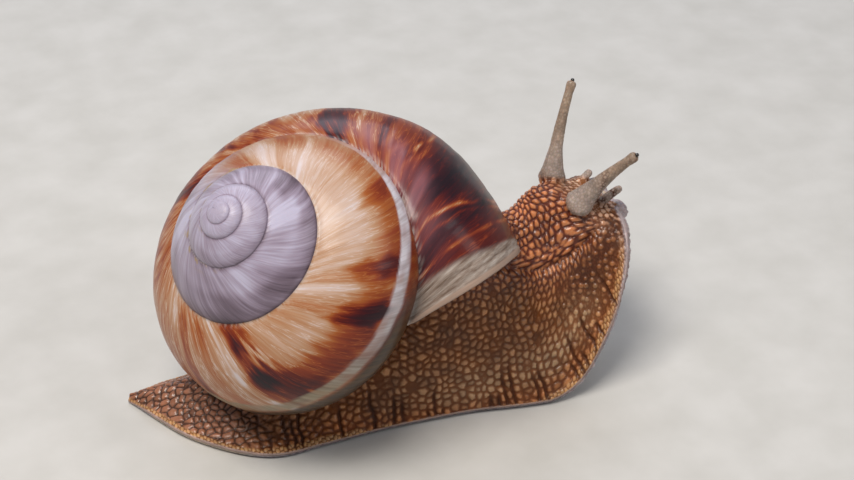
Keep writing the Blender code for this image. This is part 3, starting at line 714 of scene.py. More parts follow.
# %% Shell material
STREAKS_PER_TURN = 330.0       # at a noise scale of 0.5 the broadest are 0.9 mm apart
LINES_PER_TURN = 120.0         # thin pale growth lines, about 1.2 mm apart
FLAKES_PER_TURN = 190.0        # flakes of the worn strip, about 0.8 mm wide
BROWNS = ((0.0, "#D0C2C2"), (0.13, "#C6AC9E"), (0.27, "#B28868"), (0.42, "#9E582A"),
          (0.55, "#84361A"), (0.68, "#601C12"), (0.82, "#3E1117"), (1.0, "#1C0C16"))
CHALKS = ((0.0, "#BEB8CE"), (0.3, "#9F92A5"), (0.6, "#7A6B7A"), (0.85, "#5A4C58"), (1.0, "#453A45"))
FLAKES = ((0.30, "#4A372C"), (0.42, "#7A685C"), (0.54, "#9A8C82"), (0.70, "#BDB2A9"))
shell_finish, tree, shader = finish_named("varnished_aragonite_shell")
read = read_notes(tree, shell_notes)


def along_growth(per_turn, per_degree):
    """Coordinates that draw a pattern out along the growth lines."""
    across = add(tree, "Math", {0: read["age"], 1: per_turn}, operation="MULTIPLY")
    along = add(tree, "Math", {0: read["angle"], 1: per_degree}, operation="MULTIPLY")
    return add(tree, "CombineXYZ", {0: across, 1: along})


fine_streaks = add(tree, "TexNoise", {"Vector": along_growth(STREAKS_PER_TURN, 0.035), "Scale": 0.5,
                                      "Detail": 4.0, "Roughness": 0.6})
fine_push = add(tree, "MapRange", {0: fine_streaks, 1: 0.32, 2: 0.68, 3: -0.13, 4: 0.13})
line_noise = add(tree, "TexNoise", {"Vector": along_growth(LINES_PER_TURN, 0.02), "Scale": 1.0,
                                    "Detail": 3.0, "Roughness": 0.6})
off_middle = add(tree, "Math", {0: line_noise, 1: 0.5}, operation="SUBTRACT")
off_line = add(tree, "Math", {0: off_middle}, operation="ABSOLUTE")
hair_line = add(tree, "MapRange", {0: off_line, 1: 0.0, 2: 0.022, 3: -0.24, 4: 0.0},
                interpolation_type="SMOOTHSTEP")
both_pushes = add(tree, "Math", {0: hair_line, 1: fine_push}, operation="ADD")
line_push = add(tree, "Math", {0: both_pushes, 1: read["line_gain"]}, operation="MULTIPLY")
print("shell streak nodes:", len(tree.nodes))

# %% Shell colours
pigment_in = add(tree, "Math", {0: read["pigment"], 1: line_push}, operation="ADD")
surface = add(tree, "ValToRGB", {0: pigment_in}, BROWNS).outputs[0]
# the base's dark brown, partly painted shade
base = add(tree, "ValToRGB", {0: fine_streaks}, ((0.32, "#221404"), (0.62, "#4E3414")))
chalk_in = add(tree, "Math", {0: read["lavender_dark_and_shade"], 1: fine_push}, operation="ADD")
chalk = add(tree, "ValToRGB", {0: chalk_in}, CHALKS)
band_pale = add(tree, "ValToRGB", {0: fine_streaks}, ((0.32, "#B0A3A6"), (0.62, "#DAD4DC")))
# the band turns olive along the shell: partly its own colour, partly painted shade
band_olive_and_shade = add(tree, "ValToRGB", {0: fine_streaks}, ((0.32, "#75654A"), (0.62, "#9F927A")))
olive_and_shade_by_age = add(tree, "MapRange", {0: read["age"], 1: -0.93, 2: -0.78, 3: 0.0, 4: 1.0})
band = add(tree, "Mix", {0: olive_and_shade_by_age, 6: band_pale, 7: band_olive_and_shade}, data_type="RGBA").outputs[2]
flake_noise = add(tree, "TexNoise", {"Vector": along_growth(FLAKES_PER_TURN, 0.05), "Scale": 1.0,
                                     "Detail": 6.0, "Roughness": 0.65})
flakes = add(tree, "ValToRGB", {0: flake_noise}, FLAKES)
LAYERS = (("mauve", "#A4717B"), ("base_brown_and_shade", base), ("lavender", chalk), ("pale_band", band),
          ("worn", flakes), ("lip_rim", "#A28A7B"), ("golden", "#A08863"), ("seam_thread", "#CFC6BE"),
          ("inside", "#B79F92"))
for name, over in LAYERS:      # each lies over the ones before it
    surface = add(tree, "Mix", {0: read[name], 6: surface, 7: over}, data_type="RGBA").outputs[2]
print("colour layers on the shell:", len(LAYERS))

# %% Shell gloss
gloss_lost = add(tree, "MapRange", {0: read["worn"], 1: 0.0, 2: 1.0, 3: 0.34, 4: 0.62})
fine_ribs = add(tree, "Bump", {"Height": fine_streaks, "Strength": 0.35, "Distance": 0.00005})
feed(tree, shader, {"Base Color": surface, "Roughness": gloss_lost, "Normal": fine_ribs, "IOR": 1.53,
                    "Specular IOR Level": 0.26, "Coat Weight": 0.08, "Coat Roughness": 0.14,
                    "Subsurface Weight": 0.05, "Subsurface Radius": (1.0, 0.5, 0.3),
                    "Subsurface Scale": 0.0006})
print("shell material nodes:", len(tree.nodes))

# %% Shell piece
QUADS_TO_TEST = 20000          # enough to tell whether the faces look outward
used, compact = np.unique(np.concatenate([np.ravel(face) for face in shell_faces]), return_inverse=True)
tidy_faces = np.split(compact, np.cumsum([len(face) for face in shell_faces])[:-1])
corner_points = shell_points[used][np.array(tidy_faces[:QUADS_TO_TEST])] - shell_points[used].mean(0)
first, second, third = (corner_points[:, k] for k in range(3))
facing = np.einsum("ij,ij->i", np.cross(second - first, third - first), first)
outward = facing.sum() > 0
if not outward:
    tidy_faces = [face[::-1] for face in tidy_faces]
    shell_corners = [face[::-1] for face in shell_corners]
shell = piece_from("spiral_shell", shell_points[used], tidy_faces, shell_finish)
places = to_metres(shell_points[used]) + per_point(shell.data, "normal") * relief[used][:, None] * MM
shell.data.vertices.foreach_set("co", places.ravel().astype(np.float32))
shell.data.update()
corner_ids = np.concatenate([np.ravel(face) for face in shell_corners])
for name, values in shell_notes.items():
    note(shell.data, name, values[corner_ids], "CORNER")
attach(shell, "root")
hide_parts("shell")
print("shell piece:", len(shell.data.polygons), "faces, outward first:", bool(outward))

# %% [markdown]
# ## The mantle fold
# Where the body leaves the shell a thick, wet fold seals the gap: the mantle, which builds the lip.
# It is dark violet brown and shines. A ring that swells just inside the lip, wrinkled by noise, and
# a floor behind it are enough, as the body passes through its middle.

# %% Mantle piece
MANTLE_WALL = [(0.75, -1.9), (0.72, -1.2), (0.74, -0.5), (0.95, 0.02), (1.35, 0.28), (1.9, 0.30), (2.5, 0.05),
               (3.0, -0.45), (3.4, -1.0)]
wrinkle_along = np.arange(len(mouth_ids)) * 0.16
mantle_points = []
reach = np.linalg.norm(mouth_middle - rim_points, axis=1) * 0.8
for k, (step_in, height) in enumerate(MANTLE_WALL):
    swell = 0.28 * wander(wrinkle_along, k * 0.7, 21) if k > 2 else 0.0
    mantle_points.append(lip_ring(np.minimum(step_in, reach)[:, None], np.reshape(height + swell, (-1, 1))))
count = len(mouth_ids)
mantle_faces = []
for k in range(len(MANTLE_WALL) - 1):
    a = np.arange(count) + k * count
    mantle_faces += np.stack([a, np.roll(a, -1), np.roll(a, -1) + count, a + count], -1).tolist()
mantle_points = np.concatenate(mantle_points)
for ring, height in ((0, MANTLE_WALL[0][1]), (len(MANTLE_WALL) - 1, MANTLE_WALL[-1][1])):
    middle_id = len(mantle_points)
    mantle_points = np.vstack([mantle_points, mouth_middle + LIP_NORMAL * height])
    a = np.arange(count) + ring * count
    pairs = np.stack([a, np.roll(a, -1), np.full(count, middle_id)], -1)
    mantle_faces += (pairs if ring else pairs[:, ::-1]).tolist()

mantle_finish, tree, shader = finish_named("wet_mantle_flesh")
mottle = add(tree, "TexNoise", {"Scale": 900.0, "Detail": 4.0})
tone = add(tree, "ValToRGB", {0: mottle}, ((0.3, "#2C1A16"), (0.5, "#5A3A2A"), (0.72, "#8A6246")))
lumps = add(tree, "Bump", {"Height": mottle, "Strength": 0.5, "Distance": 0.00012})
feed(tree, shader, {"Base Color": tone, "Normal": lumps, "Roughness": 0.34, "IOR": 1.38,
                    "Coat Weight": 0.3, "Coat Roughness": 0.10})
mantle = piece_from("mantle_fold", mantle_points, mantle_faces, mantle_finish)
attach(mantle, "root")
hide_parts("mantle_collar")
print("mantle faces:", len(mantle_faces))

# %% [markdown]
# ## The body's form
# The flesh is one soft form: a flat sole with a thin rim, flanks that rise to a rounded back, and a
# neck that lifts clear of the ground. Ribs along a line of named stations give it. Each rib knows
# how wide the sole and the trunk are and how high the back is, and a smooth curve through the
# stations gives every rib between.

# %% Body stations
MARGIN_THICKNESS = 1.1
SOLE_INSET = 0.8
SKIRT_POWER = 3.2
ROUND_POWER = 0.85
STATIONS = np.array((          # sole x, sole z, back x, back z, middle y, back y, half sole, half trunk, yaw
    (-24.2, 0.0, -24.2, 0.9, 8.5, 8.5, 0.8, 0.5, -32.0),
    (-20.2, 0.0, -20.0, 2.9, 6.0, 6.0, 4.1, 1.7, -31.0),
    (-15.2, 0.0, -15.0, 4.8, 3.2, 3.2, 7.9, 3.6, -25.0),
    (-8.8, 0.0, -8.8, 6.4, 0.5, 0.5, 11.1, 5.4, -11.0),
    (-2.5, 0.0, -2.0, 9.0, 0.0, -0.4, 10.9, 6.6, -2.0),
    (4.5, 0.0, 5.0, 13.0, 0.0, -2.2, 10.7, 7.6, 0.0),
    (11.0, 0.0, 11.0, 19.0, 0.0, -4.0, 11.0, 8.2, 0.0),
    (17.0, 0.0, 16.0, 22.5, 0.0, -4.2, 11.6, 8.2, 0.0),
    (22.6, 0.0, 20.5, 23.6, 0.0, -3.4, 12.8, 7.4, 0.0),
    (27.4, 0.0, 24.4, 23.4, 0.0, -2.0, 13.6, 6.6, 0.0),
    (31.6, 2.2, 27.2, 23.1, 0.0, -0.8, 13.6, 6.1, 0.0),
    (34.9, 7.0, 29.0, 24.0, 0.0, 0.0, 13.2, 5.7, 0.0),
    (37.5, 12.4, 30.7, 24.9, 0.0, 0.0, 12.4, 5.4, 0.0),
    (39.5, 17.4, 33.0, 24.9, -0.3, 0.0, 10.3, 5.1, 0.0),
    (40.7, 20.6, 35.8, 23.9, -0.5, 0.0, 7.4, 4.5, 0.0),
    (41.2, 22.0, 39.3, 22.7, -0.5, 0.0, 4.1, 3.4, 0.0),
))
BROW = len(STATIONS) - 1
LAST_FLAT_STATION = 9          # from the next one on the sole lifts off the ground


def station(t):
    """The sizes at any place between two stations, on a smooth curve."""
    i = min(int(t), BROW - 1)
    u = t - i
    p1, p2 = STATIONS[i], STATIONS[i + 1]
    p0 = STATIONS[i - 1] if i else 2 * p1 - p2
    p3 = STATIONS[i + 2] if i + 2 <= BROW else 2 * p2 - p1
    sizes = 0.5 * (2 * p1 + (p2 - p0) * u + (2 * p0 - 5 * p1 + 4 * p2 - p3) * u ** 2
                   + (3 * p1 - p0 - 3 * p2 + p3) * u ** 3)
    sizes[1] = 0.0 if t <= LAST_FLAT_STATION else max(0.0, sizes[1])
    return sizes


print("stations:", len(STATIONS), "widest half sole, mm:", STATIONS[:, 6].max())


# %% Ribs
FLANK_ROWS = 48
FLANK_SHARES = np.linspace(0, 1, FLANK_ROWS + 1)
SOLE_ROWS = 12


def rib(t):
    """One closed section: up the right flank, down the left, and back across the sole."""
    sole_x, sole_z, back_x, back_z, middle_y, back_y, sole_half, trunk_half, yaw = station(t)
    side = np.array((-math.sin(math.radians(yaw)), math.cos(math.radians(yaw)), 0))
    sole = np.array((sole_x, middle_y, sole_z))
    up = np.array((back_x, back_y, back_z)) - sole
    height = np.linalg.norm(up)
    up /= height
    margin = min(MARGIN_THICKNESS, height * 0.45)
    quarter = FLANK_SHARES * math.pi / 2
    skirt = (1 - FLANK_SHARES) ** SKIRT_POWER
    half = trunk_half * np.cos(quarter) ** ROUND_POWER * (1 - skirt) + sole_half * skirt
    half[-1] = 0.0
    lift = margin + (height - margin) * np.sin(quarter) ** 1.15
    right = sole + up * lift[:, None] - side * half[:, None]
    left = sole + up * lift[:, None] + side * half[:, None]
    inset = min(SOLE_INSET, sole_half * 0.4)
    low_rim = sole_half - inset * 0.3
    across = np.linspace(sole_half - inset, -(sole_half - inset), SOLE_ROWS + 1)
    under = [sole + up * margin * 0.35 + side * low_rim]
    under += [sole + side * a for a in across]
    under += [sole + up * margin * 0.35 - side * low_rim]
    return np.concatenate([right, left[-2::-1], under])


RIB_STEP = 0.05
rib_turns = np.arange(0, BROW + RIB_STEP / 2, RIB_STEP)
ribs = np.array([rib(t) for t in rib_turns])
rib_size = ribs.shape[1]
print("ribs:", len(ribs), "points each:", rib_size)

# %% [markdown]
# ## Feelers and lips
# Two long feelers carry the eyes, two short ones below them smell the ground, and a soft lobe lies
# on each side of the mouth. Feelers are tapered tubes along bent paths, wide where they join the
# head. They are made as closed forms that run into the head, so that one remesh melts all of them
# and the body into a single skin with no seam.

# %% Feeler paths
UPPER_PATHS = {
    "left": ((34.2, 3.3, 22.4), (35.0, 4.4, 29.5), (39.0, 7.9, 35.6)),
    "right": ((34.1, -3.3, 22.6), (36.8, -4.3, 27.1), (40.6, -7.9, 32.3)),
}
UPPER_RADII = {
    "left": ((0.0, 1.2), (0.06, 1.8), (0.12, 1.9), (0.22, 1.4), (0.4, 0.9), (0.7, 0.68), (0.9, 0.6),
             (0.96, 0.7), (1.0, 0.6)),
    "right": ((0.0, 0.9), (0.04, 1.5), (0.10, 1.9), (0.16, 1.95), (0.25, 1.6), (0.45, 1.1), (0.7, 0.8),
              (0.88, 0.64), (0.96, 0.74), (1.0, 0.62)),
}
LOWER_PATHS = {
    "left": ((37.8, 2.9, 21.9), (39.2, 3.4, 23.1), (40.4, 3.8, 23.6)),
    "right": ((37.6, -2.9, 22.1), (39.3, -3.4, 24.1), (40.8, -4.2, 25.4)),
}
LOWER_RADII = ((0.0, 0.95), (0.5, 0.6), (0.85, 0.55), (1.0, 0.4))
MOUTH_LOBE = np.array((40.9, 3.0, 21.2))
MOUTH_LOBE_RADII = np.array((1.3, 1.9, 1.3))
print("left feeler reaches z mm:", UPPER_PATHS["left"][2][2])

# %% Feeler tubes
TUBE_SIDES = 28
TUBE_STEPS = 90


def tube(path, radii, steps):
    """Rings of a tapered tube along a bent path, with a rounded end."""
    root, bend, tip = (np.array(p) for p in path)
    length = np.linalg.norm(bend - root) + np.linalg.norm(tip - bend)
    shares, sizes = zip(*radii)
    points = []
    for u in np.linspace(0, 1, steps + 1):
        centre = root * (1 - u) ** 2 + bend * 2 * u * (1 - u) + tip * u ** 2
        along = (bend - root) * (1 - u) + (tip - bend) * u
        along /= np.linalg.norm(along)
        side = np.cross(along, (0, 1, 0.3))
        side /= np.linalg.norm(side)
        other = np.cross(along, side)
        radius = np.interp(u, shares, sizes)
        left_to_tip = (1 - u) * length
        round_off = math.sqrt(max(0.0, 1 - max(0.0, 1 - left_to_tip / (0.6 * sizes[-1])) ** 2))
        turns = np.linspace(0, TURN, TUBE_SIDES, endpoint=False)[:, None]
        points.append(centre + (side * np.cos(turns) + other * np.sin(turns)) * radius * max(round_off, 0.02))
    return np.array(points)


print("rings on a feeler:", len(tube(UPPER_PATHS["left"], UPPER_RADII["left"], TUBE_STEPS)))

# %% Closed forms
BALL_SIDES = 32


def closed_rings(rings, start):
    """Faces of a stack of rings with both ends closed by a fan; the two middle points come last."""
    count, size = rings.shape[:2]
    ids = np.arange(count * size).reshape(count, size) + start
    ids = np.concatenate([ids, ids[:, :1]], 1)
    faces = grid_faces(ids).tolist()
    points = np.vstack([rings.reshape(-1, 3), rings[0].mean(0), rings[-1].mean(0)])
    for row, middle_id in ((0, start + count * size), (-1, start + count * size + 1)):
        faces += [[int(a), int(b), middle_id] for a, b in zip(ids[row], ids[row, 1:])]
    return points, faces


def ball_rings(centre, radii, count=24):
    """A squashed ball as a stack of rings."""
    turns = np.linspace(0, TURN, BALL_SIDES, endpoint=False)
    slopes = np.linspace(-math.pi / 2, math.pi / 2, count)[1:-1]
    return np.array([centre + radii * np.stack([np.full(BALL_SIDES, math.sin(s)), math.cos(s) * np.cos(turns),
                                                math.cos(s) * np.sin(turns)], -1) for s in slopes])


print("points on a mouth lobe:", ball_rings(MOUTH_LOBE, MOUTH_LOBE_RADII).size // 3)

# %% One closed skin
SKIN_VOXEL = 0.115             # mm; a tubercle is six to ten of these across
SOFTEN_STEPS = 8
forms = [ribs]
for side_name, sign in (("left", 1), ("right", -1)):
    forms.append(tube(UPPER_PATHS[side_name], UPPER_RADII[side_name], TUBE_STEPS))
    forms.append(tube(LOWER_PATHS[side_name], LOWER_RADII, 40))
    forms.append(ball_rings(MOUTH_LOBE * (1, sign, 1), MOUTH_LOBE_RADII))
form_points, form_faces = [], []
for rings in forms:
    points, faces = closed_rings(rings, sum(len(p) for p in form_points))
    form_points.append(points)
    form_faces += faces
rough = bpy.data.meshes.new("rough_flesh")
rough.from_pydata(np.concatenate(form_points).tolist(), [], form_faces)
rough_body = bpy.data.objects.new("rough_flesh", rough)
bpy.context.scene.collection.objects.link(rough_body)
remesh = rough_body.modifiers.new("one_skin", "REMESH")
remesh.mode = "VOXEL"
remesh.voxel_size = SKIN_VOXEL
soften = rough_body.modifiers.new("soften", "SMOOTH")
soften.factor = 0.5
soften.iterations = SOFTEN_STEPS
bpy.context.view_layer.update()
graph = bpy.context.evaluated_depsgraph_get()
skin_mesh = bpy.data.meshes.new_from_object(rough_body.evaluated_get(graph), depsgraph=graph)
bpy.data.objects.remove(rough_body, do_unlink=True)
skin_count = len(skin_mesh.vertices)
skin_points = per_point(skin_mesh, "co")
skin_normals = per_point(skin_mesh, "normal")
print("skin points after the remesh:", skin_count)

# %% [markdown]
# ## Skin coordinates
# The skin's swellings follow the body: they line up along the neck and stand in columns above the
# rim. So each skin point needs its place on the body: its station, its distance up from the rim and
# its distance from the middle of the back. The ribs know these, and every skin point takes them
# from the nearest place on the ribs.

# %% Place of each skin point on the body
steps_round = np.linalg.norm(np.diff(ribs, axis=1), axis=2)
round_length = np.concatenate([np.zeros((len(ribs), 1)), np.cumsum(steps_round, axis=1)], 1)
left_rim = 2 * FLANK_ROWS
from_back = round_length[:, FLANK_ROWS, None] - round_length
half_girth = (round_length[:, left_rim] - round_length[:, 0])[:, None] / 2
share_here = np.concatenate([FLANK_SHARES, FLANK_SHARES[-2::-1], np.zeros(rib_size - left_rim - 1)])
under = (np.arange(rib_size) > left_rim).astype(float)
rib_facts = np.stack(np.broadcast_arrays(rib_turns[:, None], from_back, half_girth - np.abs(from_back),
                                         share_here, under), -1).reshape(-1, 5)
wrapped = np.concatenate([np.arange(rib_size), [0]])
rib_ids = (np.arange(len(ribs))[:, None] * rib_size + wrapped[None, :])
rib_quads = grid_faces(rib_ids)
rib_triangles = np.concatenate([rib_quads[:, [0, 1, 2]], rib_quads[:, [0, 2, 3]]])
rib_points = ribs.reshape(-1, 3)
rib_tree = BVHTree.FromPolygons([Vector(p) for p in rib_points], rib_triangles.tolist())
near_face = np.empty(skin_count, np.int64)
near_place = np.empty((skin_count, 3))
off_body = np.empty(skin_count)
for k, point in enumerate(skin_points):
    place, _, face, distance = rib_tree.find_nearest(point)
    near_face[k] = face
    near_place[k] = place
    off_body[k] = distance
a, b, c = (rib_points[rib_triangles[near_face, k]] for k in range(3))
normal = np.cross(b - a, c - a)
area = np.maximum((normal ** 2).sum(1), 1e-12)
share_b = (np.cross(near_place - a, c - a) * normal).sum(1) / area
share_c = (np.cross(b - a, near_place - a) * normal).sum(1) / area
shares = np.clip(np.stack([1 - share_b - share_c, share_b, share_c], 1), 0, 1)
facts = sum(rib_facts[rib_triangles[near_face, k]] * shares[:, k:k + 1] for k in range(3))
t_here, girth, rim_height, flank_share, underside = facts.T
print("skin points off the ribs:", int((off_body > 0.4).sum()))

# %% [markdown]
# ## Tubercles
# Wet snail skin is a net of furrows round small swellings, the tubercles. On the neck they are
# plump beads, and longer ones lie in rows along the crease below it. The flank has a soft net with
# upright grooves that climb from the rim, and round pale dots near the head. The tail has flat
# many-sided plates, and the rim a comb of fine ribs. A cell pattern gives all of these: each point
# finds its nearest two seeds on a lattice, and where both are equally near there is a furrow. Sizes
# and regularity change from zone to zone.

# %% Cell pattern
def cell_facts(seeds):
    """From seeds' distances and tones: how far off the furrow, the cell's tone, how far from its middle."""
    nearest = second = np.full(skin_count, 9.0)
    tone = np.zeros(skin_count)
    for distance, seed_tone in seeds:
        closer = distance < nearest
        second = np.where(closer, nearest, np.minimum(second, distance))
        tone = np.where(closer, seed_tone, tone)
        nearest = np.where(closer, distance, nearest)
    return second - nearest, tone, nearest


def cells(x, y, jitter_x, jitter_y, seed):
    """Rows of cells along x, every other row shifted by half a cell."""
    i, j = np.floor(x).astype(np.int64), np.floor(y).astype(np.int64)

    def seeds():
        for dj, di in itertools.product((-1, 0, 1), (-2, -1, 0, 1, 2)):
            row, column = j + dj, i + di
            seed_x = column + 0.5 * (row & 1) + 0.5 + jitter_x * (dice(column, row, seed) - 0.5)
            seed_y = row + 0.5 + jitter_y * (dice(column, row, seed + 1) - 0.5)
            yield np.hypot(x - seed_x, y - seed_y), dice(column, row, seed + 2)

    return cell_facts(seeds())


def cells_in_space(points, jitter, seed):
    """The same pattern in three directions, for places with no clear along and across."""
    corner = np.floor(points).astype(np.int64)

    def seeds():
        for step in itertools.product((-1, 0, 1), repeat=3):
            whole = corner + step
            a, b = whole[:, 0], whole[:, 1] + whole[:, 2] * 7919
            draws = np.stack([dice(a, b, seed + k) for k in range(3)], -1)
            place = whole + 0.5 + jitter * (draws - 0.5)
            yield np.linalg.norm(points - place, axis=1), dice(a, b, seed + 3)

    return cell_facts(seeds())


print("points that get a cell:", skin_count)


# %% Shapes of a swelling
def pillow(border, width):
    """A rounded swelling: 0 in the furrow, steep at its side and flat on top."""
    return np.sqrt(1 - (1 - np.clip(border / width, 0, 1)) ** 2)


def dome(border, width):
    """A swelling that keeps rising to its middle: 0 in the furrow."""
    low = np.clip(border / width, 0, 1)
    return np.sqrt(low) * (1 - 0.25 * (1 - low) ** 2)


print("a pillow and a dome half way up:", round(float(pillow(0.5, 1)), 2), round(float(dome(0.5, 1)), 2))


# %% Skin zones
NECK_SHARE = 0.7
FOOT_SHARE = 0.12
CREASE = ((6.0, 0.72), (8.5, 0.61), (9.7, 0.52), (10.6, 0.45), (11.5, 0.385), (13.0, 0.32), (15.0, 0.24))
LEFT_SIDE_SHIFT = 200          # keeps the left flank's cells from mirroring the right's


def length_along(share):
    """How far along the body each skin point lies, measured at one height of the flank."""
    row = np.argmin(np.abs(FLANK_SHARES - share))
    steps_along = np.linalg.norm(np.diff(ribs[:, row], axis=0), axis=1)
    return np.interp(t_here, rib_turns, np.concatenate([[0], np.cumsum(steps_along)]))


u_neck = length_along(NECK_SHARE)
sole_length = length_along(FOOT_SHARE)
u_foot = sole_length + LEFT_SIDE_SHIFT * (girth < 0)
skin_y, skin_z = skin_points[:, 1], skin_points[:, 2]

crease_share = np.interp(t_here, *zip(*CREASE))
above_crease = flank_share - crease_share
is_under = ease(0.35, 0.75, underside) * ease(0.5, 0.0, rim_height)
lobe_points = skin_points * (1, 0, 1) + np.abs(skin_points) * (0, 1, 0)
from_lobe = np.linalg.norm((lobe_points - MOUTH_LOBE) / MOUTH_LOBE_RADII, axis=1)
is_horn = ease(0.2, 0.9, off_body) * ease(32.0, 33.5, skin_points[:, 0]) * ease(1.05, 1.3, from_lobe)
horn_tip = ease(2.5, 8.0, off_body) * is_horn
is_tail = 1 - ease(2.2, 3.8, t_here)
is_neck = ease(-0.02, 0.03, above_crease) * (1 - is_tail) * ease(5.5, 7.0, t_here)
is_front = ease(12.6, 14.0, t_here + 0.35 * wander(girth / 2.2, u_neck / 2.2, 32))
rim_depth = np.interp(t_here, (0, 3, 5), (0.5, 0.8, 1.2))
is_rim = 1 - ease(0.8, 1.4, rim_height / rim_depth + 0.25 * wander(u_foot / 1.7, 0, 31))
print("points on horn, tail, neck:", int(is_horn.sum()), int(is_tail.sum()), int(is_neck.sum()))

# %% Cells of each zone
warp_u = 0.45 * wander(u_neck / 3.1, girth / 2.7, 41)
warp_v = 0.45 * wander(u_neck / 2.9, girth / 3.3, 42)
sway = 0.30 * wander(rim_height / 1.5, u_foot / 2.6, 97)
column_place = (u_foot + warp_u * 0.6 + sway) / 1.06
comb_place = rim_height / 0.75 + 0.3 * wander(u_foot / 0.6, 0, 90)


def zone_cells(along, around, warp_along, warp_around, length, width, jitters, seed):
    """Cells of a zone, their length and width in mm, on lines that warp by a share of the noise."""
    along, around = along + warp_u * warp_along, around + warp_v * warp_around
    return cells(along / length, around / width, *jitters, seed)


neck_border, neck_tone, _ = zone_cells(u_neck, girth, 1, 1, 0.92, 1.08, (0.75, 0.50), 50)
crease_border, crease_tone, _ = zone_cells(u_neck, girth, 0.4, 0.4, 1.35, 0.74, (0.5, 0.3), 60)
fold_border = zone_cells(u_neck, girth, 0.5, 0.3, 2.3, 0.80, (0.6, 0.3), 65)[0]
tail_border, tail_tone, _ = zone_cells(u_foot, girth, 0.8, 0.8, 1.25, 0.95, (0.95, 0.8), 80)
foot_border, foot_tone, _ = cells((rim_height + warp_v * 0.5) / 1.02, column_place, 0.9, 0.45, 70)
pebble_border = cells((rim_height + warp_v) / 0.50, (u_foot + warp_u) / 0.52, 0.9, 0.8, 75)[0]
rim_border, rim_tone, _ = cells(comb_place, u_foot / 0.50, 0.4, 0.25, 91)
grain_border, grain_tone, _ = cells_in_space(skin_points / 0.42, 0.8, 100)
_, dot_tone, from_dot = cells_in_space(skin_points / 0.82, 0.42, 110)
print("widest furrow distance on the neck:", round(float(neck_border.max()), 2))

# %% Swellings of each zone
near_crease = hump(0.0, 0.10, above_crease)
fold_here = near_crease * (1 - ease(9.8, 10.8, t_here))
neck_edge = blend(neck_border, blend(crease_border, fold_border, fold_here), near_crease)
neck_field = 0.25 * pillow(neck_edge, 0.80) + 0.75 * dome(neck_edge, 1.15)
# painted shade on the neck's beads: their colour darkens from the middle to the furrows
painted_bead_shade = ease(-0.10, 0.80, neck_edge) * (0.80 + 0.20 * dome(pebble_border, 0.9))
neck_tone = np.where(near_crease > 0.5, crease_tone, neck_tone)
foot_field = ease(-0.15, 0.85, foot_border) * (0.66 + 0.34 * dome(pebble_border, 0.7))
dot_field = 1 - ease(0.18, 0.62, from_dot)
small_dots = np.maximum(0.34 * dome(pebble_border, 0.8), dot_field * (0.65 + 0.35 * dot_tone))
is_dotty = ease(9.6, 11.6, t_here) * ease(-0.03, -0.12, above_crease) * ease(0.9, 2.0, rim_height)
foot_field = blend(foot_field, small_dots, is_dotty)
tail_field = dome(tail_border, 0.60) * (0.84 + 0.16 * dome(pebble_border, 0.7))
fields = {                     # height from 0 to 1, random tone, height in mm
    "horn": (dome(grain_border, 0.8), grain_tone, 0.045),
    "front": (np.maximum(0.50 * dome(grain_border, 0.7), dot_field), dot_tone, 0.11),
    "rim": (dome(rim_border, 0.7), rim_tone, 0.14),
    "tail": (tail_field, tail_tone, 0.26),
    "neck": (neck_field, neck_tone, 0.50),
    "foot": (foot_field, foot_tone, 0.26),
}
print("zones:", ", ".join(fields))

# %% Zones put together
GROOVED_SHARE = 0.55           # of the edges between two columns of cells
GROOVE_DEPTH = 0.28
CREASE_DEPTH = 0.65

weights = {"horn": is_horn, "front": is_front * (1 - is_horn)}
left_over = 1 - is_horn - weights["front"]
weights["rim"] = left_over * is_rim * (1 - is_under)
left_over = left_over - weights["rim"]
weights["tail"] = left_over * is_tail
weights["neck"] = left_over * is_neck
weights["foot"] = left_over * (1 - is_tail) * (1 - is_neck)
bead, tone, height = (sum(weights[name] * fields[name][k] for name in fields) for k in range(3))
push = (bead - 0.75) * height
bead += weights["neck"] * (painted_bead_shade - neck_field)            # painted shade: the beads' colour darkens from their middles towards the furrows

column_edge = np.round(column_place).astype(np.int64)
groove_top = 3.0 + 6.0 * dice(column_edge, 0, 98)
groove = hump(0.0, 0.27, column_place - column_edge) * (dice(column_edge, 0, 96) < GROOVED_SHARE)
groove *= 1 - ease(0.55, 1.0, rim_height / groove_top)
groove *= (0.35 + 0.65 * ease(0.0, 0.8, rim_height)) * (1 - is_tail)
push -= GROOVE_DEPTH * groove * (weights["foot"] + 0.6 * weights["rim"] + 0.5 * weights["tail"])
has_crease = between(6.5, 8.5, 12.4, 13.6, t_here) * (1 - is_horn)
push -= CREASE_DEPTH * has_crease * hump(0.0, 0.028, above_crease)
bare_rim = (1 - ease(0.0, 0.14, rim_height)) * (1 - is_under) * (1 - is_horn)
push *= (1 - bare_rim) * (1 - is_under * 0.9)
print("points in grooves:", int((groove > 0.5).sum()))

# %% [markdown]
# ## The lifted sole, the snout and the mouth
# The sole of a crawling snail carries waves of muscle, and where it lets go of the ground it is drawn
# in like a shallow cup inside a rolled edge. Above it a groove parts the sole from the snout, where
# the mouth is a slit between two wrinkled lips. All are soft bends of the same skin, so they are
# pushes along the normals too.

# %% Lifted sole
SOLE_CUP = 1.9
SOLE_WAVE = 2.6                # length of a muscle wave
SNOUT_FOOT = 19.6              # height of the groove between sole and snout, in the middle
SNOUT_ARCH = 0.045             # the groove drops away to both sides

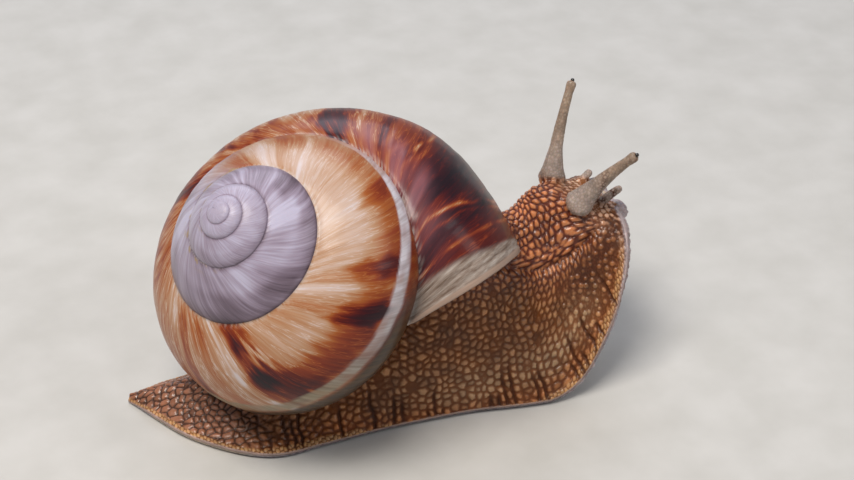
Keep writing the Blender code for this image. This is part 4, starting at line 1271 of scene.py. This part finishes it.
sole_half_here = np.interp(t_here, np.arange(len(STATIONS)), STATIONS[:, 6])
sole_across = np.clip(np.abs(skin_y) / sole_half_here, 0, 1)
raised = ease(8.8, 10.2, t_here) * is_under
to_groove = skin_z - (SNOUT_FOOT - SNOUT_ARCH * skin_y ** 2 + 0.25 * wander(skin_y / 1.3, 0, 123))
cup = ease(0.92, 0.55, sole_across) * ease(-0.4, -2.6, to_groove)
rolled = (hump(0.93, 0.07, sole_across) - 0.7 * hump(0.78, 0.06, sole_across)) * ease(-0.5, -2.0, to_groove)
edge_folds = wander(sole_length / 0.5, sole_across * 2, 124) * ease(0.66, 0.9, sole_across)
wave_place = sole_length / SOLE_WAVE + 0.35 * sole_across ** 2
wave_place += 0.15 * wander(sole_length / 5, sole_across * 3, 120)
waves = np.sin(TURN * wave_place) * ease(0.78, 0.5, sole_across)
fine_folds = wander(skin_y / 0.7 + 0.8 * waves, sole_length / 0.55, 121)
fine_folds += 0.6 * wander(skin_y / 0.315, sole_length / 0.28 + skin_y / 0.7, 122)
push -= raised * (SOLE_CUP * cup - 0.14 * waves * cup - 0.12 * fine_folds - 0.35 * rolled - 0.04 * edge_folds)
sole_paleness = 0.50 + 0.14 * waves * cup + 0.18 * fine_folds + 0.12 * rolled + 0.05 * edge_folds
bead = blend(bead, sole_paleness, raised)
tone = blend(tone, 0.5, raised)
print("sole drawn in by up to, mm:", SOLE_CUP)

# %% Snout and mouth
MOUTH_HEIGHT = 20.9
MOUTH_HALF_WIDTH = 0.75
MOUTH_HALF_HEIGHT = 0.42

on_snout = is_under * ease(-0.3, 0.6, to_groove) * (1 - is_horn)
push -= 0.55 * is_under * hump(0.0, 0.5, to_groove) * ease(1.0, 0.85, sole_across) * raised
from_mouth = np.hypot(skin_y / MOUTH_HALF_WIDTH, (skin_z - MOUTH_HEIGHT) / MOUTH_HALF_HEIGHT)
facing_front = ease(38.5, 39.5, skin_points[:, 0]) * (1 - is_horn)
wrinkles = 0.30 + 0.09 * np.cos(16 * np.arctan2(skin_z - MOUTH_HEIGHT, skin_y))
push += hump(1.75, 0.75, from_mouth) * facing_front * wrinkles
mouth_hole = (1 - ease(0.6, 1.15, from_mouth)) * facing_front
push -= 1.1 * mouth_hole
bead = blend(bead, 0.35 + 0.5 * dome(grain_border, 0.7), on_snout) * (1 - mouth_hole)
is_under = is_under * (1 - on_snout)
print("push from", round(float(push.min()), 2), "to", round(float(push.max()), 2), "mm")

# %% Colour zones
COLLAR_PLACE = np.array((25.0, -8.2, 21.6))    # where the shell's lip presses on the neck
COLLAR_REACH = 2.6

bead = bead * (1 - 0.75 * groove * (1 - is_neck))
bead = np.maximum(bead * (1 - bare_rim), bare_rim * 0.6)
neck_glow = ease(-0.20, 0.05, above_crease) * between(5.5, 7.5, 12.9, 14.4, t_here) * (1 - is_tail)
pale_flank = hump(5.2, 3.2, rim_height) * between(4.5, 7.5, 11.0, 13.0, t_here) * (1 - is_neck)
pale_flank *= np.clip(0.75 + 0.5 * wander(u_foot / 5.0, rim_height / 3.0, 130), 0, 1)
# painted shadow: the flank is darkened just under the neck's crease
painted_crease_shadow = hump(-0.13, 0.09, above_crease) * between(10.0, 11.5, 13.6, 14.6, t_here)
# painted light: the flank's colours are paler low down near the rim
painted_light_low_flank = (1 - ease(1.6, 4.2, rim_height)) * (1 - is_tail)
pale_margin = 0.8 * (1 - ease(0.10, 0.60, rim_height)) * ease(11.0, 12.6, t_here)
pale_margin = np.maximum(pale_margin, 0.6 * (1 - ease(0.05, 0.22, rim_height))) * (1 - is_under)
sole_edge = np.maximum(is_under * ease(0.80, 0.92, sole_across), pale_margin * (1 - is_horn))
skin_notes = {"bead": bead, "tone": tone, "neck": neck_glow * (1 - is_horn), "tail": weights["tail"],
              "rim": weights["rim"], "horn": is_horn, "horn_tip": horn_tip,
              "front": ease(12.4, 14.6, t_here) * (1 - is_horn), "painted_crease_shadow": painted_crease_shadow * (1 - is_horn),
              "pale_flank": pale_flank, "painted_light_low_flank": painted_light_low_flank * (1 - is_horn),
              "by_lip": hump(0, COLLAR_REACH, np.linalg.norm(skin_points - COLLAR_PLACE, axis=1)),
              "under": is_under, "sole_edge": sole_edge, "groove": groove}
print("numbers kept for the skin's colour:", len(skin_notes))

# %% [markdown]
# ## Wet skin finish
# Snail skin is soft tissue under a film of slime. Tissue and slime are mostly water, with an IOR of
# about 1.38, so light sinks in a little and comes back orange, and the film gives small sharp
# highlights on every swelling. Tops are paler than the furrows, which hold brown pigment. Painted
# shade darkens the sides of the neck's beads and the flank under the crease, and painted light
# pales the low flank.

# %% Skin material
ZONE_COLOURS = (               # zone, tops, furrows; later ones lie over earlier ones
    # painted light on the low flank
    ("painted_light_low_flank", "#AE6C3A", "#6A340C"),
    ("pale_flank", "#B0906E", "#74482A"),
    ("rim", "#BC8E60", "#7A4A22"),
    ("neck", "#C07A4C", "#5A200A"),
    ("tail", "#9E6A50", "#42200C"),
    ("front", "#C49E86", "#74441E"),
    # painted shadow under the neck's crease
    ("painted_crease_shadow", "#84502A", "#4A2006"),
    ("by_lip", "#6E4638", "#2A1210"),
    ("horn", "#A8968E", "#94857A"),
    ("horn_tip", "#A38D7B", "#917C6B"),
    ("under", "#C4B29C", "#8F7C6C"),
    ("sole_edge", "#B0A6AC", "#867A80"),
)
skin_finish, tree, shader = finish_named("wet_snail_skin")
read = read_notes(tree, skin_notes)
top = add(tree, "Mix", {0: read["tone"], 6: "#8E5A34", 7: "#A87850"}, data_type="RGBA").outputs[2]
furrow = "#623208"
for zone, top_code, furrow_code in ZONE_COLOURS:
    top = add(tree, "Mix", {0: read[zone], 6: top, 7: top_code}, data_type="RGBA").outputs[2]
    furrow = add(tree, "Mix", {0: read[zone], 6: furrow, 7: furrow_code}, data_type="RGBA").outputs[2]
furrow = add(tree, "Mix", {0: read["groove"], 6: furrow, 7: "#4A2209"}, data_type="RGBA").outputs[2]
rise = add(tree, "MapRange", {0: read["bead"], 1: 0.16, 2: 0.80, 3: 0.0, 4: 1.0},
           interpolation_type="SMOOTHSTEP")
beaded = add(tree, "Mix", {0: rise, 6: furrow, 7: top}, data_type="RGBA").outputs[2]
print("skin colour nodes:", len(tree.nodes))

# %% Mottle and wetness
coords = add(tree, "TexCoord").outputs["Object"]
mottle = add(tree, "TexNoise", {"Vector": coords, "Scale": 350.0, "Detail": 5.0})
mottle_gain = add(tree, "MapRange", {0: mottle, 1: 0.3, 2: 0.7, 3: 0.78, 4: 1.2})
tone_gain = add(tree, "MapRange", {0: read["tone"], 1: 0.0, 2: 1.0, 3: 0.82, 4: 1.15})
gain = add(tree, "Math", {0: mottle_gain, 1: tone_gain}, operation="MULTIPLY")
varied = add(tree, "VectorMath", {0: beaded, 3: gain}, operation="SCALE")
grain = add(tree, "TexNoise", {"Vector": coords, "Scale": 5200.0, "Detail": 2.0})
pores = add(tree, "Bump", {"Height": grain, "Strength": 0.30, "Distance": 0.00006})
film = add(tree, "Math", {0: read["neck"], 1: read["tail"]}, operation="ADD")
dullness = add(tree, "MapRange", {0: mottle, 1: 0.3, 2: 0.7, 3: 0.20, 4: 0.40})
for where, low, high, dull in ((film, 0.0, 1.0, 0.14), (read["bead"], 0.1, 0.7, 0.35)):
    duller = add(tree, "MapRange", {0: where, 1: low, 2: high, 3: dull, 4: 0.0})
    dullness = add(tree, "Math", {0: dullness, 1: duller}, operation="ADD")
coat = add(tree, "MapRange", {0: film, 1: 0.0, 2: 1.0, 3: 0.16, 4: 0.45})
feed(tree, shader, {"Base Color": varied, "Normal": pores, "Roughness": dullness, "Coat Weight": coat,
                    "IOR": 1.38, "Coat Roughness": 0.09, "Subsurface Weight": 0.22,
                    "Subsurface Radius": (1.0, 0.42, 0.2), "Subsurface Scale": 0.0007})
print("skin material nodes:", len(tree.nodes))

# %% Skin piece
final_points = skin_points + skin_normals * push[:, None]
final_points[:, 2] = np.maximum(final_points[:, 2], 0.0)
skin_mesh.vertices.foreach_set("co", to_metres(final_points).ravel().astype(np.float32))
skin_mesh.update()
skin_mesh.shade_smooth()
skin_mesh.materials.clear()
skin_mesh.materials.append(skin_finish)
for name, values in skin_notes.items():
    note(skin_mesh, name, values)
skin = bpy.data.objects.new("whole_skin", skin_mesh)
bpy.context.scene.collection.objects.link(skin)
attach(skin, "root")
FLESH = ("tail", "foot", "neck", "head", "mouth", "upper_tentacle", "lower_tentacle")
flesh_nodes = [name for name in frame["nodes"] if name.startswith(FLESH)]
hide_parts(*flesh_nodes)
print("skin faces:", len(skin_mesh.polygons), "stands for", len(flesh_nodes), "nodes")

# %% [markdown]
# ## Eyes
# A land snail's eye is a black bead sunk in the tip of each long feeler, under clear skin, so only
# its cap shows. A small ball is set at the tip of each long feeler, just beyond its last ring.

# %% Eyes
EYE_RADIUS = 0.27
EYE_OUT = 0.02                 # beyond the feeler's last ring
eye_finish, tree, shader = finish_named("snail_eye_under_clear_skin")
specks = add(tree, "TexNoise", {"Scale": 6000.0, "Detail": 2.0})
eye_tone = add(tree, "ValToRGB", {0: specks}, ((0.3, "#0B0908"), (0.8, "#2A1D16")))
feed(tree, shader, {"Base Color": eye_tone, "Roughness": 0.18, "IOR": 1.38, "Coat Weight": 0.8,
                    "Coat Roughness": 0.04})
for side_name in ("left", "right"):
    root, bend, tip = (np.array(p) for p in UPPER_PATHS[side_name])
    along = (tip - bend) / np.linalg.norm(tip - bend)
    centre = tip + along * EYE_OUT
    rings = ball_rings(centre, np.array((EYE_RADIUS,) * 3), 20)
    points, faces = closed_rings(rings, 0)
    eye = piece_from("eyeball_" + side_name, points, faces, eye_finish)
    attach(eye, "root")
    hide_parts("eye_" + side_name)
print("eye radius, mm:", EYE_RADIUS)
